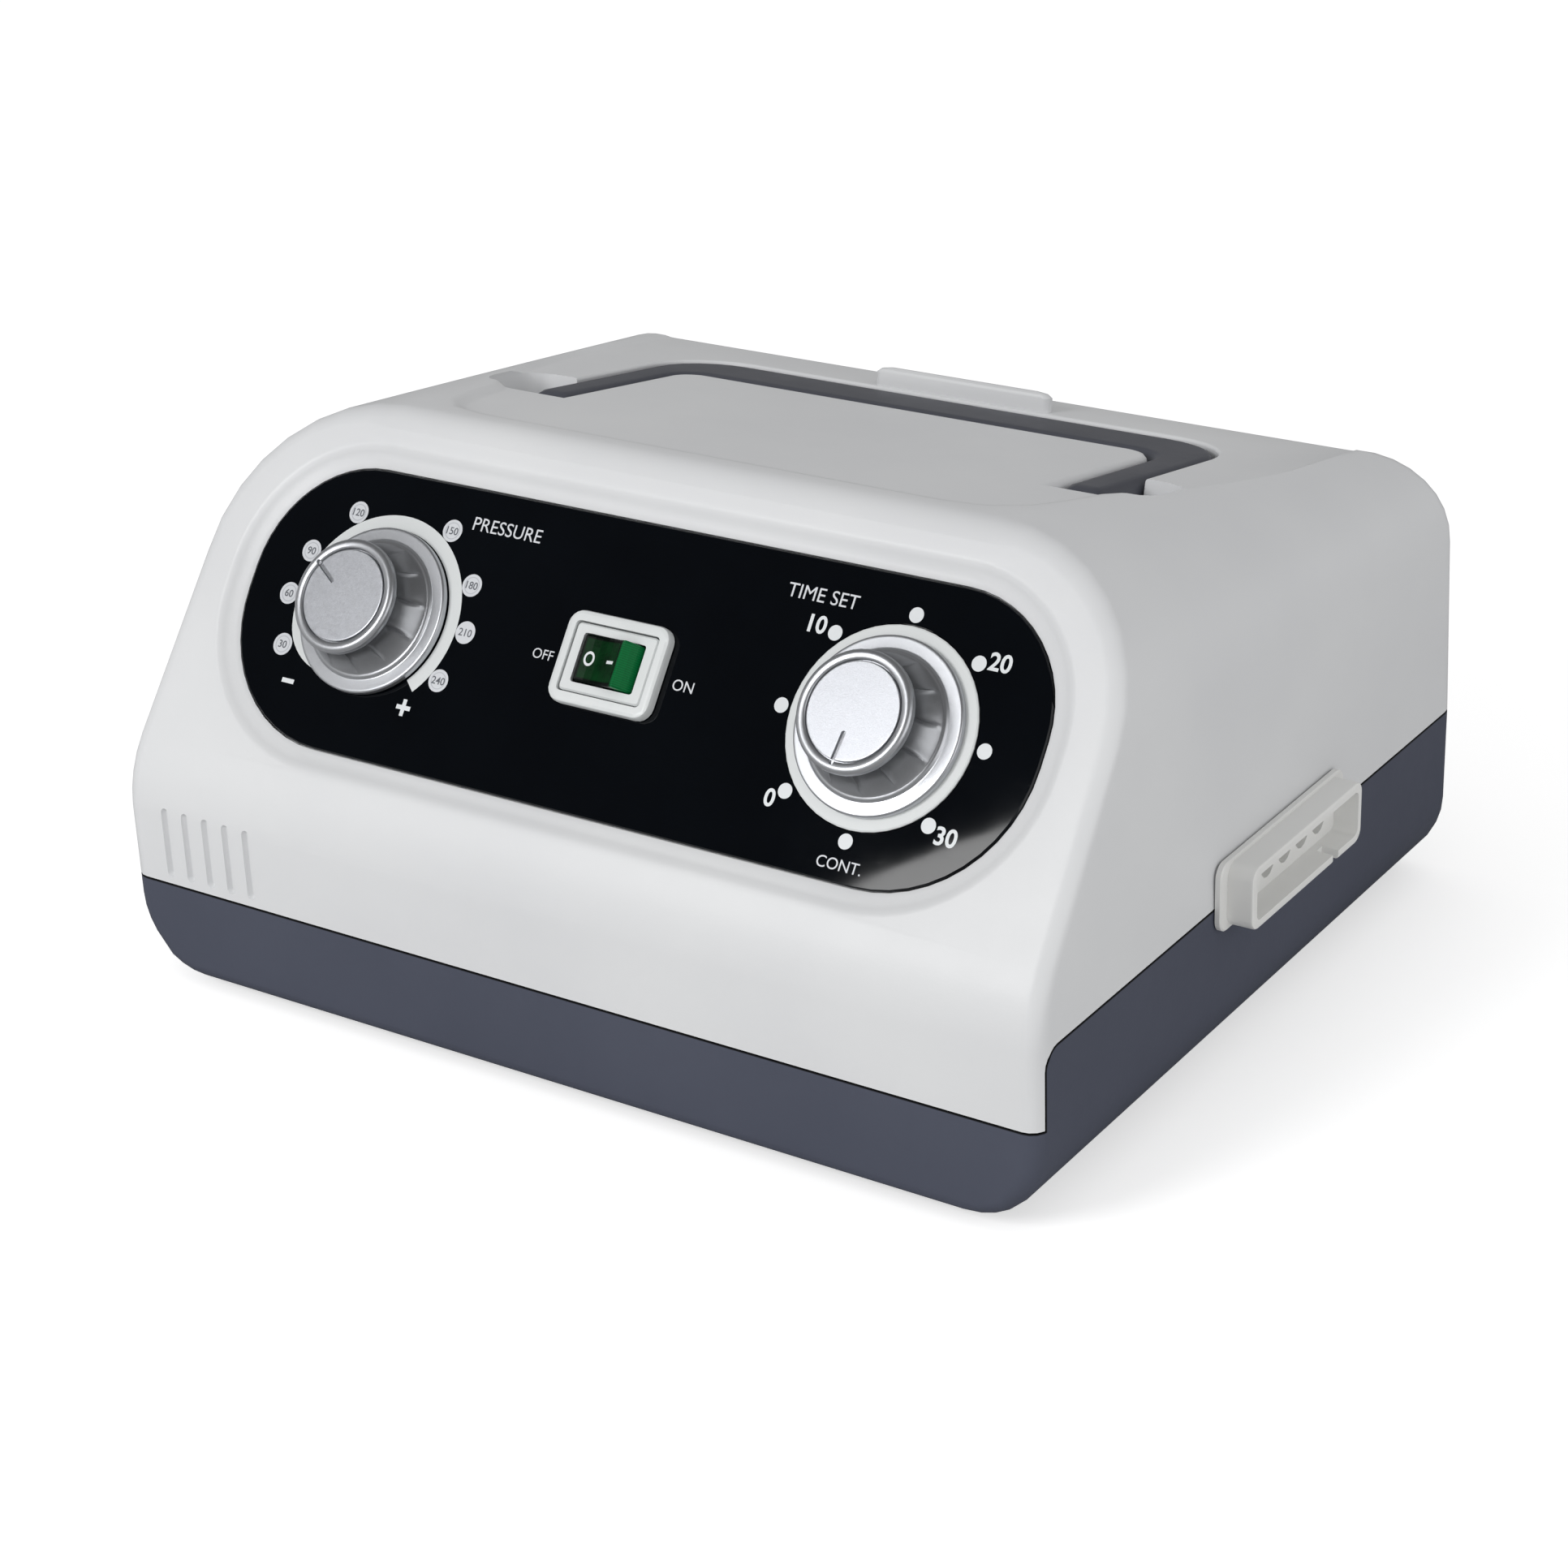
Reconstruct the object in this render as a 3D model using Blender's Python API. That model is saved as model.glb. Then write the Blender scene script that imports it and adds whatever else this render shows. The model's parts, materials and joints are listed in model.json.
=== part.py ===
import math

import bmesh
import bpy
from mathutils import Matrix, Vector

for leftover in list(bpy.data.objects):
    bpy.data.objects.remove(leftover, do_unlink=True)

# Driving dimensions in metres and degrees. The front looks along -Y, the floor is at zero height.
case_width = 0.2378
case_depth = 0.1966
foot_height = 0.0025
front_seam_height = 0.0255
side_seam_height = 0.0429
knee_height = 0.0514
face_length = 0.0941
face_lean = math.radians(36.6)
top_slope = math.radians(9.3)
side_draft = math.radians(1.8)
wall = 0.0024
gap = 0.0003
panel_side_margin = 0.0169
panel_height = 0.0643
panel_rise = 0.0483
panel_depth = 0.0020
dial_from_panel_end = 0.0365
knob_height = 0.0130
knob_skirt_radius = 0.0188
handle_side_margin = 0.0434
hinge_behind_middle = 0.0081
grip_rear_behind_middle = 0.0711
valley_depth = 0.0013
port_count = 5
port_pitch = 0.0082
socket_reach = 0.0073
socket_height = 0.0450
socket_behind_middle = 0.0038

# Lengths that several pieces share.
half_width = case_width / 2
half_depth = case_depth / 2
panel_width = case_width - 2 * panel_side_margin
dial_spacing = panel_width - 2 * dial_from_panel_end
handle_width = case_width - 2 * handle_side_margin
floor_height = foot_height + wall
overshoot = 0.004
sliver = 0.0005
arc_steps = 5
hinge_radius = 0.0055
handle_sink = 0.0002
inlet_flange_thick = 0.0020
fine_edge = 0.0003
small_edge = 0.0006
soft_edge = 0.0008


def colour(red, green, blue):
    """Display colour, each part 0 to 255, as the linear values a material takes."""
    parts = []
    for part in (red, green, blue):
        share = part / 255
        if share <= 0.04045:
            parts.append(share / 12.92)
        else:
            parts.append(((share + 0.055) / 1.055) ** 2.4)
    return (*parts, 1.0)


def finish(name, shade, metallic, roughness):
    """One surface finish with its own colour."""
    material = bpy.data.materials.new(name)
    material.use_nodes = True
    surface = material.node_tree.nodes["Principled BSDF"]
    surface.inputs["Base Color"].default_value = shade
    surface.inputs["Metallic"].default_value = metallic
    surface.inputs["Roughness"].default_value = roughness
    material.diffuse_color = shade
    return material


finishes = {
    "shell_white": finish("shell_white", colour(218, 219, 221), 0.0, 0.42),
    "base_slate": finish("base_slate", colour(80, 86, 100), 0.0, 0.5),
    "handle_slate": finish("handle_slate", colour(88, 91, 101), 0.0, 0.5),
    "panel_black": finish("panel_black", colour(6, 8, 14), 0.0, 0.22),
    "trim_white": finish("trim_white", colour(225, 225, 222), 0.0, 0.35),
    "knob_satin": finish("knob_satin", colour(176, 178, 182), 0.7, 0.34),
    "cap_satin": finish("cap_satin", colour(198, 199, 202), 0.8, 0.28),
    "switch_black": finish("switch_black", colour(18, 19, 22), 0.0, 0.4),
    "rocker_green": finish("rocker_green", colour(0, 100, 50), 0.0, 0.25),
    "socket_grey": finish("socket_grey", colour(196, 198, 202), 0.0, 0.45),
    "steel": finish("steel", colour(170, 172, 175), 1.0, 0.3),
    "brass": finish("brass", colour(190, 160, 90), 1.0, 0.35),
    "foot_rubber": finish("foot_rubber", colour(34, 35, 38), 0.0, 0.8),
    "inner_black": finish("inner_black", colour(38, 39, 42), 0.0, 0.6),
    "pump_cast": finish("pump_cast", colour(150, 153, 158), 0.6, 0.5),
    "hose_clear": finish("hose_clear", colour(214, 218, 216), 0.0, 0.3),
}


def empty(name, parent, matrix):
    """Turning point or shared origin that pieces hang from."""
    point = bpy.data.objects.new(name, None)
    bpy.context.scene.collection.objects.link(point)
    point.empty_display_size = wall
    point.parent = parent
    point.matrix_local = matrix
    return point


def solid(name, points, faces, paint, parent):
    """Piece made of the given points and faces, normals outward."""
    mesh = bpy.data.meshes.new(name)
    shape = bmesh.new()
    spots = [shape.verts.new(point) for point in points]
    for face in faces:
        shape.faces.new([spots[index] for index in face])
    bmesh.ops.recalc_face_normals(shape, faces=shape.faces)
    shape.to_mesh(mesh)
    shape.free()
    piece = bpy.data.objects.new(name, mesh)
    bpy.context.scene.collection.objects.link(piece)
    piece.parent = parent
    if paint is None:
        piece.hide_render = True
        piece.display_type = "WIRE"
    else:
        mesh.materials.append(finishes[paint])
    return piece


def smooth(piece, angle=math.radians(32)):
    """Rounded look, with edges steeper than the angle left crisp."""
    mesh = piece.data
    for face in mesh.polygons:
        face.use_smooth = True
    mesh.set_sharp_from_angle(angle=angle)
    return piece


def combine(piece, other, operation):
    """Cut, add or keep the shared part with another shape, which stays editable."""
    change = piece.modifiers.new(other.name, "BOOLEAN")
    change.operation = operation
    change.solver = "EXACT"
    change.object = other
    return piece


def cut(piece, *tools):
    for tool in tools:
        combine(piece, tool, "DIFFERENCE")
    return piece


def join(piece, *extras):
    for extra in extras:
        combine(piece, extra, "UNION")
    return piece


def loft(name, rings, paint, parent, strips=False):
    """Body between rings of equal count. Strip ends join each point to its mirror point."""
    count = len(rings[0])
    points = [point for ring in rings for point in ring]
    faces = []
    for level in range(len(rings) - 1):
        low = level * count
        high = low + count
        for index in range(count):
            after = (index + 1) % count
            faces.append((low + index, low + after, high + after, high + index))
    last = (len(rings) - 1) * count
    for start in (0, last):
        if strips:
            for index in range(count // 2 - 1):
                other = count - 1 - index
                faces.append((start + index, start + index + 1, start + other - 1, start + other))
        else:
            faces.append(tuple(range(start, start + count)))
    return solid(name, points, faces, paint, parent)


def stack(name, outline_at, layers, frame, paint, parent):
    """Body of outlines laid over each other: each layer is (outline growth, level)."""
    rings = []
    for growth, level in layers:
        rings.append([frame @ Vector((across, along, level)) for across, along in outline_at(growth)])
    return loft(name, rings, paint, parent)


def turned(name, profile, sides, frame, paint, parent, closed=False):
    """Turned body from (radius, level) or (radius, level, flute depth) around the frame's third axis."""
    points = []
    rows = []
    for station in profile:
        radius, level = station[:2]
        flute = station[2] if len(station) > 2 else 0
        row = []
        for side in range(1 if radius == 0 else sides):
            share = (side * flute_count / sides) % 1
            reach = radius - flute * 4 * share * (1 - share)
            angle = 2 * math.pi * side / sides
            row.append(len(points))
            points.append(frame @ Vector((reach * math.cos(angle), reach * math.sin(angle), level)))
        rows.append(row)
    pairs = list(zip(rows, rows[1:]))
    if closed:
        pairs.append((rows[-1], rows[0]))
    faces = []
    for low, high in pairs:
        for side in range(sides):
            after = (side + 1) % sides
            if len(low) == 1:
                faces.append((low[0], high[after], high[side]))
            elif len(high) == 1:
                faces.append((low[side], low[after], high[0]))
            else:
                faces.append((low[side], low[after], high[after], high[side]))
    return solid(name, points, faces, paint, parent)


def rod(name, radius, low, high, sides, frame, paint, parent):
    """Plain round rod between two levels."""
    profile = ((0, low), (radius, low), (radius, high), (0, high))
    return turned(name, profile, sides, frame, paint, parent)


def plate_outline(half, low, high, low_radius, high_radius, steps=arc_steps):
    """Plate outline, the same left and right, with one corner radius below and one above."""
    corners = (
        (half - low_radius, low + low_radius, low_radius, -90),
        (half - high_radius, high - high_radius, high_radius, 0),
        (high_radius - half, high - high_radius, high_radius, 90),
        (low_radius - half, low + low_radius, low_radius, 180),
    )
    points = []
    for across, along, radius, start in corners:
        for step in range(steps + 1):
            angle = math.radians(start + 90 * step / steps)
            points.append((across + radius * math.cos(angle), along + radius * math.sin(angle)))
    return points


def block(name, half, low, high, radius, layers, frame, paint, parent, steps=arc_steps):
    """Rounded block: outline in the frame's first two axes, layers along its third."""
    def outline(growth):
        corner = radius + growth
        return plate_outline(half + growth, low - growth, high + growth, corner, corner, steps)
    return stack(name, outline, layers, frame, paint, parent)


def placed(origin, first, second):
    """Frame with its first two axes along the given directions."""
    third = first.cross(second)
    frame = Matrix((first, second, third)).transposed().to_4x4()
    frame.translation = origin
    return frame


across = Vector((1, 0, 0))
back = Vector((0, 1, 0))
up = Vector((0, 0, 1))
face_up = Vector((0, math.sin(face_lean), math.cos(face_lean)))
face_out = Vector((0, -math.cos(face_lean), math.sin(face_lean)))
top_out = Vector((0, math.sin(top_slope), math.cos(top_slope)))
top_back = Vector((0, math.cos(top_slope), -math.sin(top_slope)))

# The side view of the case: upright apron, knee, leaning face, crest, falling top.
knee = Vector((0, -half_depth, knee_height))
crest = knee + face_up * face_length
panel_frame = placed(knee + face_up * panel_rise - face_out * panel_depth, across, face_up)

# Socket and inlet stand out on one side each, so the origin below the middle of all lies off the mid-planes.
root = empty("pump_origin", None,
             Matrix.Translation((-(socket_reach + gap) / 2, -(inlet_flange_thick + gap) / 2, 0)))

flute_count = 12


def face_spot(right, above, out):
    """Point on the panel plane, with its distance in front of it."""
    return panel_frame @ Vector((right, above, out))


def top_spot(side, depth, lift):
    """Point over the flat valley on the top, lifted square to it."""
    reach = top_out.dot(crest) - valley_depth
    height = (reach - math.sin(top_slope) * depth) / math.cos(top_slope)
    return Vector((side, depth, height)) + top_out * lift


# Radii of the case outline, seen from the front, at the front and at the rear.
front_corner_across = 0.0410
front_corner_up = 0.0330
rear_corner = 0.0200
bottom_corner = 0.0179
knee_radius = 0.0270
side_edge = 0.0040
crest_edge = 0.0080
bottom_edge = 0.0030
rear_side_edge = 0.0060
rear_top_edge = 0.0190
smallest_radius = 0.0010
outside_steps = {"corner_steps": 8, "knee_steps": 4, "edge_steps": 4}
inside_steps = {"corner_steps": 4, "knee_steps": 2, "edge_steps": 2}


def case_lines(sides, front, face, top):
    """Where the outside faces lie when each is set in by its own wall."""
    apron_reach = half_depth - front
    face_reach = face_out.dot(knee) - face
    top_reach = top_out.dot(crest) - top
    knee_up = (face_reach - math.cos(face_lean) * apron_reach) / math.sin(face_lean)
    return {
        "half": half_width - sides,
        "bottom": foot_height + sides,
        "rear": half_depth - sides,
        "knee": (-apron_reach, knee_up),
        "top": top_reach,
        "knee_radius": knee_radius - front,
        "wall": sides,
    }


def front_depth(lines, height):
    """Depth of the front at a height: apron, rounded knee or leaning face."""
    knee_depth, knee_up = lines["knee"]
    radius = lines["knee_radius"]
    tangent = radius * math.tan(face_lean / 2)
    low = knee_up - tangent
    if height <= low:
        return knee_depth
    if height >= knee_up + tangent * math.cos(face_lean):
        return knee_depth + (height - knee_up) * math.tan(face_lean)
    return knee_depth + radius - math.sqrt(radius ** 2 - (height - low) ** 2)


def crest_height(lines, share):
    """Height of the top, at a share of the way from the front face to the rear wall."""
    knee_depth, knee_up = lines["knee"]
    lean = math.tan(face_lean)
    fixed = (1 - share) * (knee_depth - knee_up * lean) + share * lines["rear"]
    return (lines["top"] - math.sin(top_slope) * fixed) / (
        math.cos(top_slope) + math.sin(top_slope) * (1 - share) * lean
    )


def half_at(lines, height):
    return lines["half"] - math.tan(side_draft) * max(0, height - side_seam_height)


def half_section(lines, share, steps):
    """Right half of one cross-section, from the bottom round to the top."""
    inset = lines["wall"]
    wide = max(front_corner_across + (rear_corner - front_corner_across) * share - inset, smallest_radius)
    tall = max(front_corner_up + (rear_corner - front_corner_up) * share - inset, smallest_radius)
    low = max(bottom_corner - inset, smallest_radius)
    top = crest_height(lines, share)
    pairs = []
    corner_steps = steps["corner_steps"]
    knee_steps = steps["knee_steps"]
    for step in range(corner_steps + 1):
        angle = math.radians(-90 + 90 * step / corner_steps)
        pairs.append((lines["half"] - low + low * math.cos(angle), lines["bottom"] + low + low * math.sin(angle)))
    knee_up = lines["knee"][1]
    tangent = lines["knee_radius"] * math.tan(face_lean / 2)
    start = knee_up - tangent
    end = knee_up + tangent * math.cos(face_lean)
    for step in range(knee_steps + 1):
        height = start + (end - start) * step / knee_steps
        pairs.append((half_at(lines, height), height))
    middle = (half_at(lines, top - tall) - wide, top - tall)
    for step in range(corner_steps + 1):
        angle = math.radians(90 * step / corner_steps)
        pairs.append((middle[0] + wide * math.cos(angle), middle[1] + tall * math.sin(angle)))
    points = []
    for side, height in pairs:
        depth = (1 - share) * front_depth(lines, height) + share * lines["rear"]
        points.append(Vector((side, depth, height)))
    return points


def rounded_rings(sharp, inner, face_normals, radii, steps):
    """Rings that round the edge between an end face and the sides, from the face outwards."""
    rings = []
    count = len(sharp)
    for step in range(steps + 1):
        share = step / steps
        ring = []
        for index, corner in enumerate(sharp):
            before = sharp[max(index - 1, 0)]
            after = sharp[min(index + 1, count - 1)]
            along = after - before
            if index == 0:
                along = across
            if index == count - 1:
                along = -across
            inward = along.cross(face_normals[index]).normalized()
            if inward.dot(Vector((0, corner.y, sharp[0].z + (sharp[-1].z - sharp[0].z) / 2)) - corner) < 0:
                inward = -inward
            onward = (inner[index] - corner).normalized()
            turn = (-inward).angle(onward)
            tangent = radii[index] * math.tan(turn / 2)
            weight = 2 * share * (1 - share) * math.cos(turn / 2)
            start = (1 - share) ** 2
            end = share ** 2
            total = start + weight + end
            ring.append((start * (corner + inward * tangent) + weight * corner
                         + end * (corner + onward * tangent)) / total)
        rings.append(ring)
    return rings


def edge_radii(count, corner_steps, bottom, side, top, inset):
    """Edge radius at each outline point: bottom, side, then growing over the corner to the top."""
    radii = []
    for index in range(count):
        if index < corner_steps // 2:
            radius = bottom
        elif index < count - corner_steps:
            radius = side
        else:
            share = (index - (count - 1 - corner_steps)) / corner_steps
            radius = side + (top - side) * share ** 2
        radii.append(max(radius - inset, smallest_radius))
    return radii


def case_form(name, sides, front, face, top, paint=None):
    """Closed body of the whole case, its faces set in by the given walls."""
    lines = case_lines(sides, front, face, top)
    steps = inside_steps if paint is None else outside_steps
    first = half_section(lines, 0, steps)
    last = half_section(lines, 1, steps)
    between = [half_section(lines, share, steps) for share in (0.2, 0.4, 0.6, 0.8)]
    count = len(first)
    leaning = []
    for point in first:
        slope = (front_depth(lines, point.z + sliver) - front_depth(lines, point.z - sliver)) / (2 * sliver)
        leaning.append(Vector((0, -1, slope)).normalized())
    fronts = rounded_rings(first, between[0], leaning,
                           edge_radii(count, steps["corner_steps"], bottom_edge, side_edge, crest_edge, sides),
                           steps["edge_steps"])
    rears = rounded_rings(last, between[-1], [back] * count,
                          edge_radii(count, steps["corner_steps"], bottom_edge, rear_side_edge, rear_top_edge, sides),
                          steps["edge_steps"] + 1)
    halves = fronts + between + rears[::-1]
    rings = []
    for half in halves:
        mirrored = [Vector((-point.x, point.y, point.z)) for point in reversed(half)]
        rings.append(half + mirrored)
    return smooth(loft(name, rings, paint, root, strips=True))


# The seam between top and base, seen from the side: low behind the apron skirt, then higher.
skirt_spare = 0.0002
skirt = wall + skirt_spare
seam_radius = 0.0045
seam_steps = 5


def seam_line(drop):
    """Seam from the front to the rear as (depth, height), lowered by a drop."""
    step_depth = -half_depth + skirt + drop
    points = [(-case_depth, front_seam_height - drop), (step_depth, front_seam_height - drop)]
    for step in range(seam_steps + 1):
        angle = math.radians(180 - 90 * step / seam_steps)
        points.append((step_depth + seam_radius * (1 + math.cos(angle)),
                       side_seam_height - drop - seam_radius * (1 - math.sin(angle))))
    points.append((case_depth, side_seam_height - drop))
    return points


def side_prism(name, outline, half):
    """Shape drawn in the side view and run across the whole width."""
    rings = [[Vector((side, depth, height)) for depth, height in outline] for side in (-half, half)]
    return loft(name, rings, None, root)


def above_seam():
    far_up = crest.z + case_width
    outline = seam_line(0) + [(case_depth, far_up), (-case_depth, far_up)]
    return side_prism("above_seam", outline, case_width)


def below_seam():
    far_down = -case_width
    outline = seam_line(gap) + [(case_depth, far_down), (-case_depth, far_down)]
    return side_prism("below_seam", outline, case_width)


# Handle plan, on the flat valley of the top. Arms run back from the hinge, the grip joins them.
arm_width = 0.0100
grip_depth = 0.0185
handle_outer_corner = 0.0170
handle_inner_corner = 0.0080
handle_round = 0.0028
slot_clearance = 0.0008
slot_front_room = 0.0076
slot_room_below = 0.0013
plateau_edge = 0.0020
slot_edge = 0.0008
handle_half = handle_width / 2
handle_thickness = 2 * hinge_radius
hinge_spot = top_spot(0, hinge_behind_middle, -handle_sink - hinge_radius)


def handle_rail(clearance, steps):
    """Matching (inner, outer) plan points of the right half, from the start of the corner to the middle."""
    outer = handle_half + clearance
    inner = handle_half - arm_width - clearance
    rear = grip_rear_behind_middle + clearance
    front = grip_rear_behind_middle - grip_depth - clearance
    outer_corner = handle_outer_corner + clearance
    inner_corner = handle_inner_corner - clearance
    pairs = []
    for step in range(steps + 1):
        angle = math.radians(90 * step / steps)
        pairs.append((
            (inner - inner_corner * (1 - math.cos(angle)), front - inner_corner * (1 - math.sin(angle))),
            (outer - outer_corner * (1 - math.cos(angle)), rear - outer_corner * (1 - math.sin(angle))),
        ))
    pairs.append(((0, front), (0, rear)))
    return pairs


def across_rail(inner, outer, section):
    """Section points, given as (share of half width, offset, lift), placed between two plan points."""
    start = top_spot(*inner, 0)
    end = top_spot(*outer, 0)
    middle = (start + end) / 2
    half = (end - start) / 2
    unit = half.normalized()
    return [middle + half * share + unit * offset + top_out * lift for share, offset, lift in section]


def mirrored_rings(rings):
    """Rings of the right half followed by the same rings on the left, the middle one once."""
    left = [[Vector((-point.x, point.y, point.z)) for point in ring] for ring in rings[:-1]]
    return rings + left[::-1]


def bar_section(top, half_thick, radius, steps=3):
    """Rounded bar section as (share, offset, lift), its top at the given lift."""
    middle = top - half_thick
    corners = ((1, 1, 0), (-1, 1, 90), (-1, -1, 180), (1, -1, 270))
    section = []
    for side, above, start in corners:
        for step in range(steps + 1):
            angle = math.radians(start + 90 * step / steps)
            section.append((side, radius * (math.cos(angle) - side),
                            middle + above * (half_thick - radius) + radius * math.sin(angle)))
    return section


def carry_handle():
    """U-shaped handle lying flush in its slot, its arm ends rounded about the hinge."""
    inner = handle_half - arm_width
    rings = []
    centre = -handle_sink
    for turn in (78, 52, 26, 0):
        angle = math.radians(turn)
        depth = hinge_behind_middle - hinge_radius * math.sin(angle)
        half_thick = hinge_radius * math.cos(angle)
        radius = min(handle_round, half_thick * 0.7)
        section = bar_section(centre - hinge_radius + half_thick, half_thick, radius)
        rings.append(across_rail((inner, depth), (handle_half, depth), section))
    section = bar_section(centre, hinge_radius, handle_round)
    for low, high in handle_rail(0, 6):
        rings.append(across_rail(low, high, section))
    turning = empty("handle_hinge", root, Matrix.Translation(hinge_spot))
    handle = loft("carry_handle", mirrored_rings(rings), "handle_slate", turning)
    handle.data.transform(Matrix.Translation(-hinge_spot))
    bore = rod("handle_bore", pin_radius + gap, -handle_width, handle_width, pin_sides,
               placed(hinge_spot, back, up), None, root)
    cut(handle, bore)
    return smooth(handle)


def slot_section(floor, clear_above):
    """Slot section with soft upper edges, as (share, offset, lift)."""
    section = [(-1, 0, floor), (1, 0, floor)]
    for step in range(4):
        angle = math.radians(90 * step / 3)
        section.append((1, slot_edge * (1 - math.cos(angle)), slot_edge * (math.sin(angle) - 1)))
    section.append((1, slot_edge, clear_above))
    section.append((-1, -plateau_edge, clear_above))
    for step in range(4):
        angle = math.radians(90 - 90 * step / 3)
        section.append((-1, -plateau_edge * (1 - math.cos(angle)), plateau_edge * (math.sin(angle) - 1)))
    return section


def slot_body(name, clearance, front_room, section):
    """Body along the handle path, wider than the handle by the clearance on both sides."""
    inner = handle_half - arm_width - clearance
    outer = handle_half + clearance
    depth = hinge_behind_middle - front_room
    rings = [across_rail((inner, depth), (outer, depth), section)]
    for low, high in handle_rail(clearance, 6):
        rings.append(across_rail(low, high, section))
    return loft(name, mirrored_rings(rings), None, root)


slot_floor = -handle_sink - handle_thickness - slot_room_below


def handle_slot():
    return slot_body("handle_slot", slot_clearance, slot_front_room, slot_section(slot_floor, overshoot))


def handle_tub():
    """Block that the slot is cut into, so that the slot has walls and a floor of its own."""
    low = slot_floor - wall
    section = [(-1, 0, low), (1, 0, low), (1, 0, overshoot), (-1, 0, overshoot)]
    return slot_body("handle_tub", slot_clearance + wall, slot_front_room + wall, section)


# Scoops beside the slot that open the hinge to the side.
pocket_reach = 0.0130
pocket_length = 0.0230
pocket_sink = 0.0108
pocket_levels = 5


def pocket_outline(growth):
    """Right-hand pocket plan as (side, depth), its inner edge inside the slot."""
    start = handle_half + slot_clearance
    front = hinge_behind_middle - slot_front_room
    half_long = pocket_length / 2
    middle = front + half_long
    points = []
    for step in range(11):
        angle = math.radians(-90 + 18 * step)
        reach = math.copysign(abs(math.cos(angle)) ** 0.55, 1)
        along = math.copysign(abs(math.sin(angle)) ** 0.8, math.sin(angle))
        points.append((start + (pocket_reach + growth) * reach,
                       middle + (half_long + growth) * along))
    return points


def pocket_scoop(name, side, growth, low, soft):
    """Bowl beside the slot, deep at the slot and rising outwards."""
    start = handle_half + slot_clearance
    inner = start - arm_width / 2
    outline = pocket_outline(growth)
    rings = []
    for level in range(-1, pocket_levels + 1):
        share = max(level, 0) / pocket_levels
        narrow = math.cos(math.radians(80) * share) if soft else 1
        lift = low * math.sin(math.radians(90) * share)
        if level == -1:
            lift = overshoot
        ring = []
        for across_side, depth in outline:
            middle = hinge_behind_middle - slot_front_room + pocket_length / 2
            tuck = 1 - share * 0.12 if soft else 1
            ring.append(top_spot(side * (start + (across_side - start) * narrow),
                                 middle + (depth - middle) * tuck, lift))
        first = ring[0]
        final = ring[-1]
        ring.append(Vector((side * inner, final.y, final.z)))
        ring.append(Vector((side * inner, first.y, first.z)))
        rings.append(ring)
    return loft(name, rings, None, root)


# Soft shallow valley on the top that the handle lies in.
valley_behind_crest = 0.0098
valley_front = crest.y + valley_behind_crest
valley_soft = 0.0045
valley_plan = (
    (0.0599, 0), (0.0509, 0.0020), (0.0451, 0.0080), (0.0419, 0.0180), (0.0399, 0.0290),
    (0.0349, 0.0380), (0.0299, 0.0480), (0.0269, 0.0600), (0.0239, 0.0720), (0.0224, 0.0850),
)


def valley_tool():
    """Cutter of the shallow valley with soft sides, running out over the rear."""
    last = (valley_plan[-1][0], case_depth - valley_front)
    half = [(half_width - inset, valley_front + depth) for inset, depth in (*valley_plan, last)]
    layers = ((0, overshoot), (0, valley_depth), (0.25, valley_depth * 0.93), (0.5, valley_depth * 0.5),
              (0.75, valley_depth * 0.07), (1, 0))
    rings = []
    for narrow, lift in layers:
        inset = valley_soft * (narrow - 0.5)
        right = []
        for side, depth in half:
            share = min(1, (depth - valley_front) / (2 * valley_soft))
            right.append(top_spot(side - inset * min(1, 0.4 + share), depth + inset * (1 - share), lift))
        left = [Vector((-point.x, point.y, point.z)) for point in reversed(right)]
        rings.append(right + left)
    return loft("valley", rings, None, root)


# Raised lip of the top behind the middle of the grip.
lip_half = 0.0240
lip_thick = 0.0034
lip_rise = 0.0045


def rear_lip():
    middle = top_spot(0, grip_rear_behind_middle + slot_clearance + slot_edge + lip_thick / 2, 0)
    frame = placed(middle, across, top_back)
    half_thick = lip_thick / 2

    def outline(narrow):
        radius = half_thick - narrow
        return plate_outline(lip_half - narrow * 3, narrow - half_thick, half_thick - narrow,
                             radius, radius, 3)
    soft = half_thick * 0.7
    layers = ((0, -wall / 2), (0, lip_rise - soft), (soft * 0.3, lip_rise - soft * 0.35), (soft, lip_rise))
    lip = stack("rear_lip", outline, layers, frame, None, root)
    return lip


# Front panel seat: a soft dish round the panel, then a pocket that holds the plate.
panel_thickness = 0.0016
panel_low_corner = panel_height * 0.4946
panel_high_corner = panel_height * 0.4199
panel_drop = 0.00045
panel_corner_steps = 12
dish_reach = 0.0058
dish_bevel = 0.0014
dish_flare = 0.0012
face_backing = 0.0018
face_wall = panel_depth + panel_thickness + gap + face_backing
panel_low = -panel_height / 2 - panel_drop
panel_high = panel_height / 2 - panel_drop
dial_spots = {"pressure": -dial_spacing / 2, "timer": dial_spacing / 2}


def panel_outline(growth):
    return plate_outline(panel_width / 2 + growth, panel_low - growth, panel_high + growth,
                         panel_low_corner + growth, panel_high_corner + growth, panel_corner_steps)


def panel_seat():
    """Cutter of the dish and of the pocket under the panel."""
    span = dish_reach - dish_bevel
    layers = (
        (gap, -panel_thickness - gap),
        (gap, -fine_edge),
        (dish_bevel, fine_edge),
        (dish_bevel + span * 0.3, panel_depth * 0.25),
        (dish_bevel + span * 0.55, panel_depth * 0.6),
        (dish_bevel + span * 0.8, panel_depth * 0.9),
        (dish_reach, panel_depth),
        (dish_reach + dish_flare, panel_depth + overshoot),
    )
    return stack("panel_seat", panel_outline, layers, panel_frame, None, root)


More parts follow.
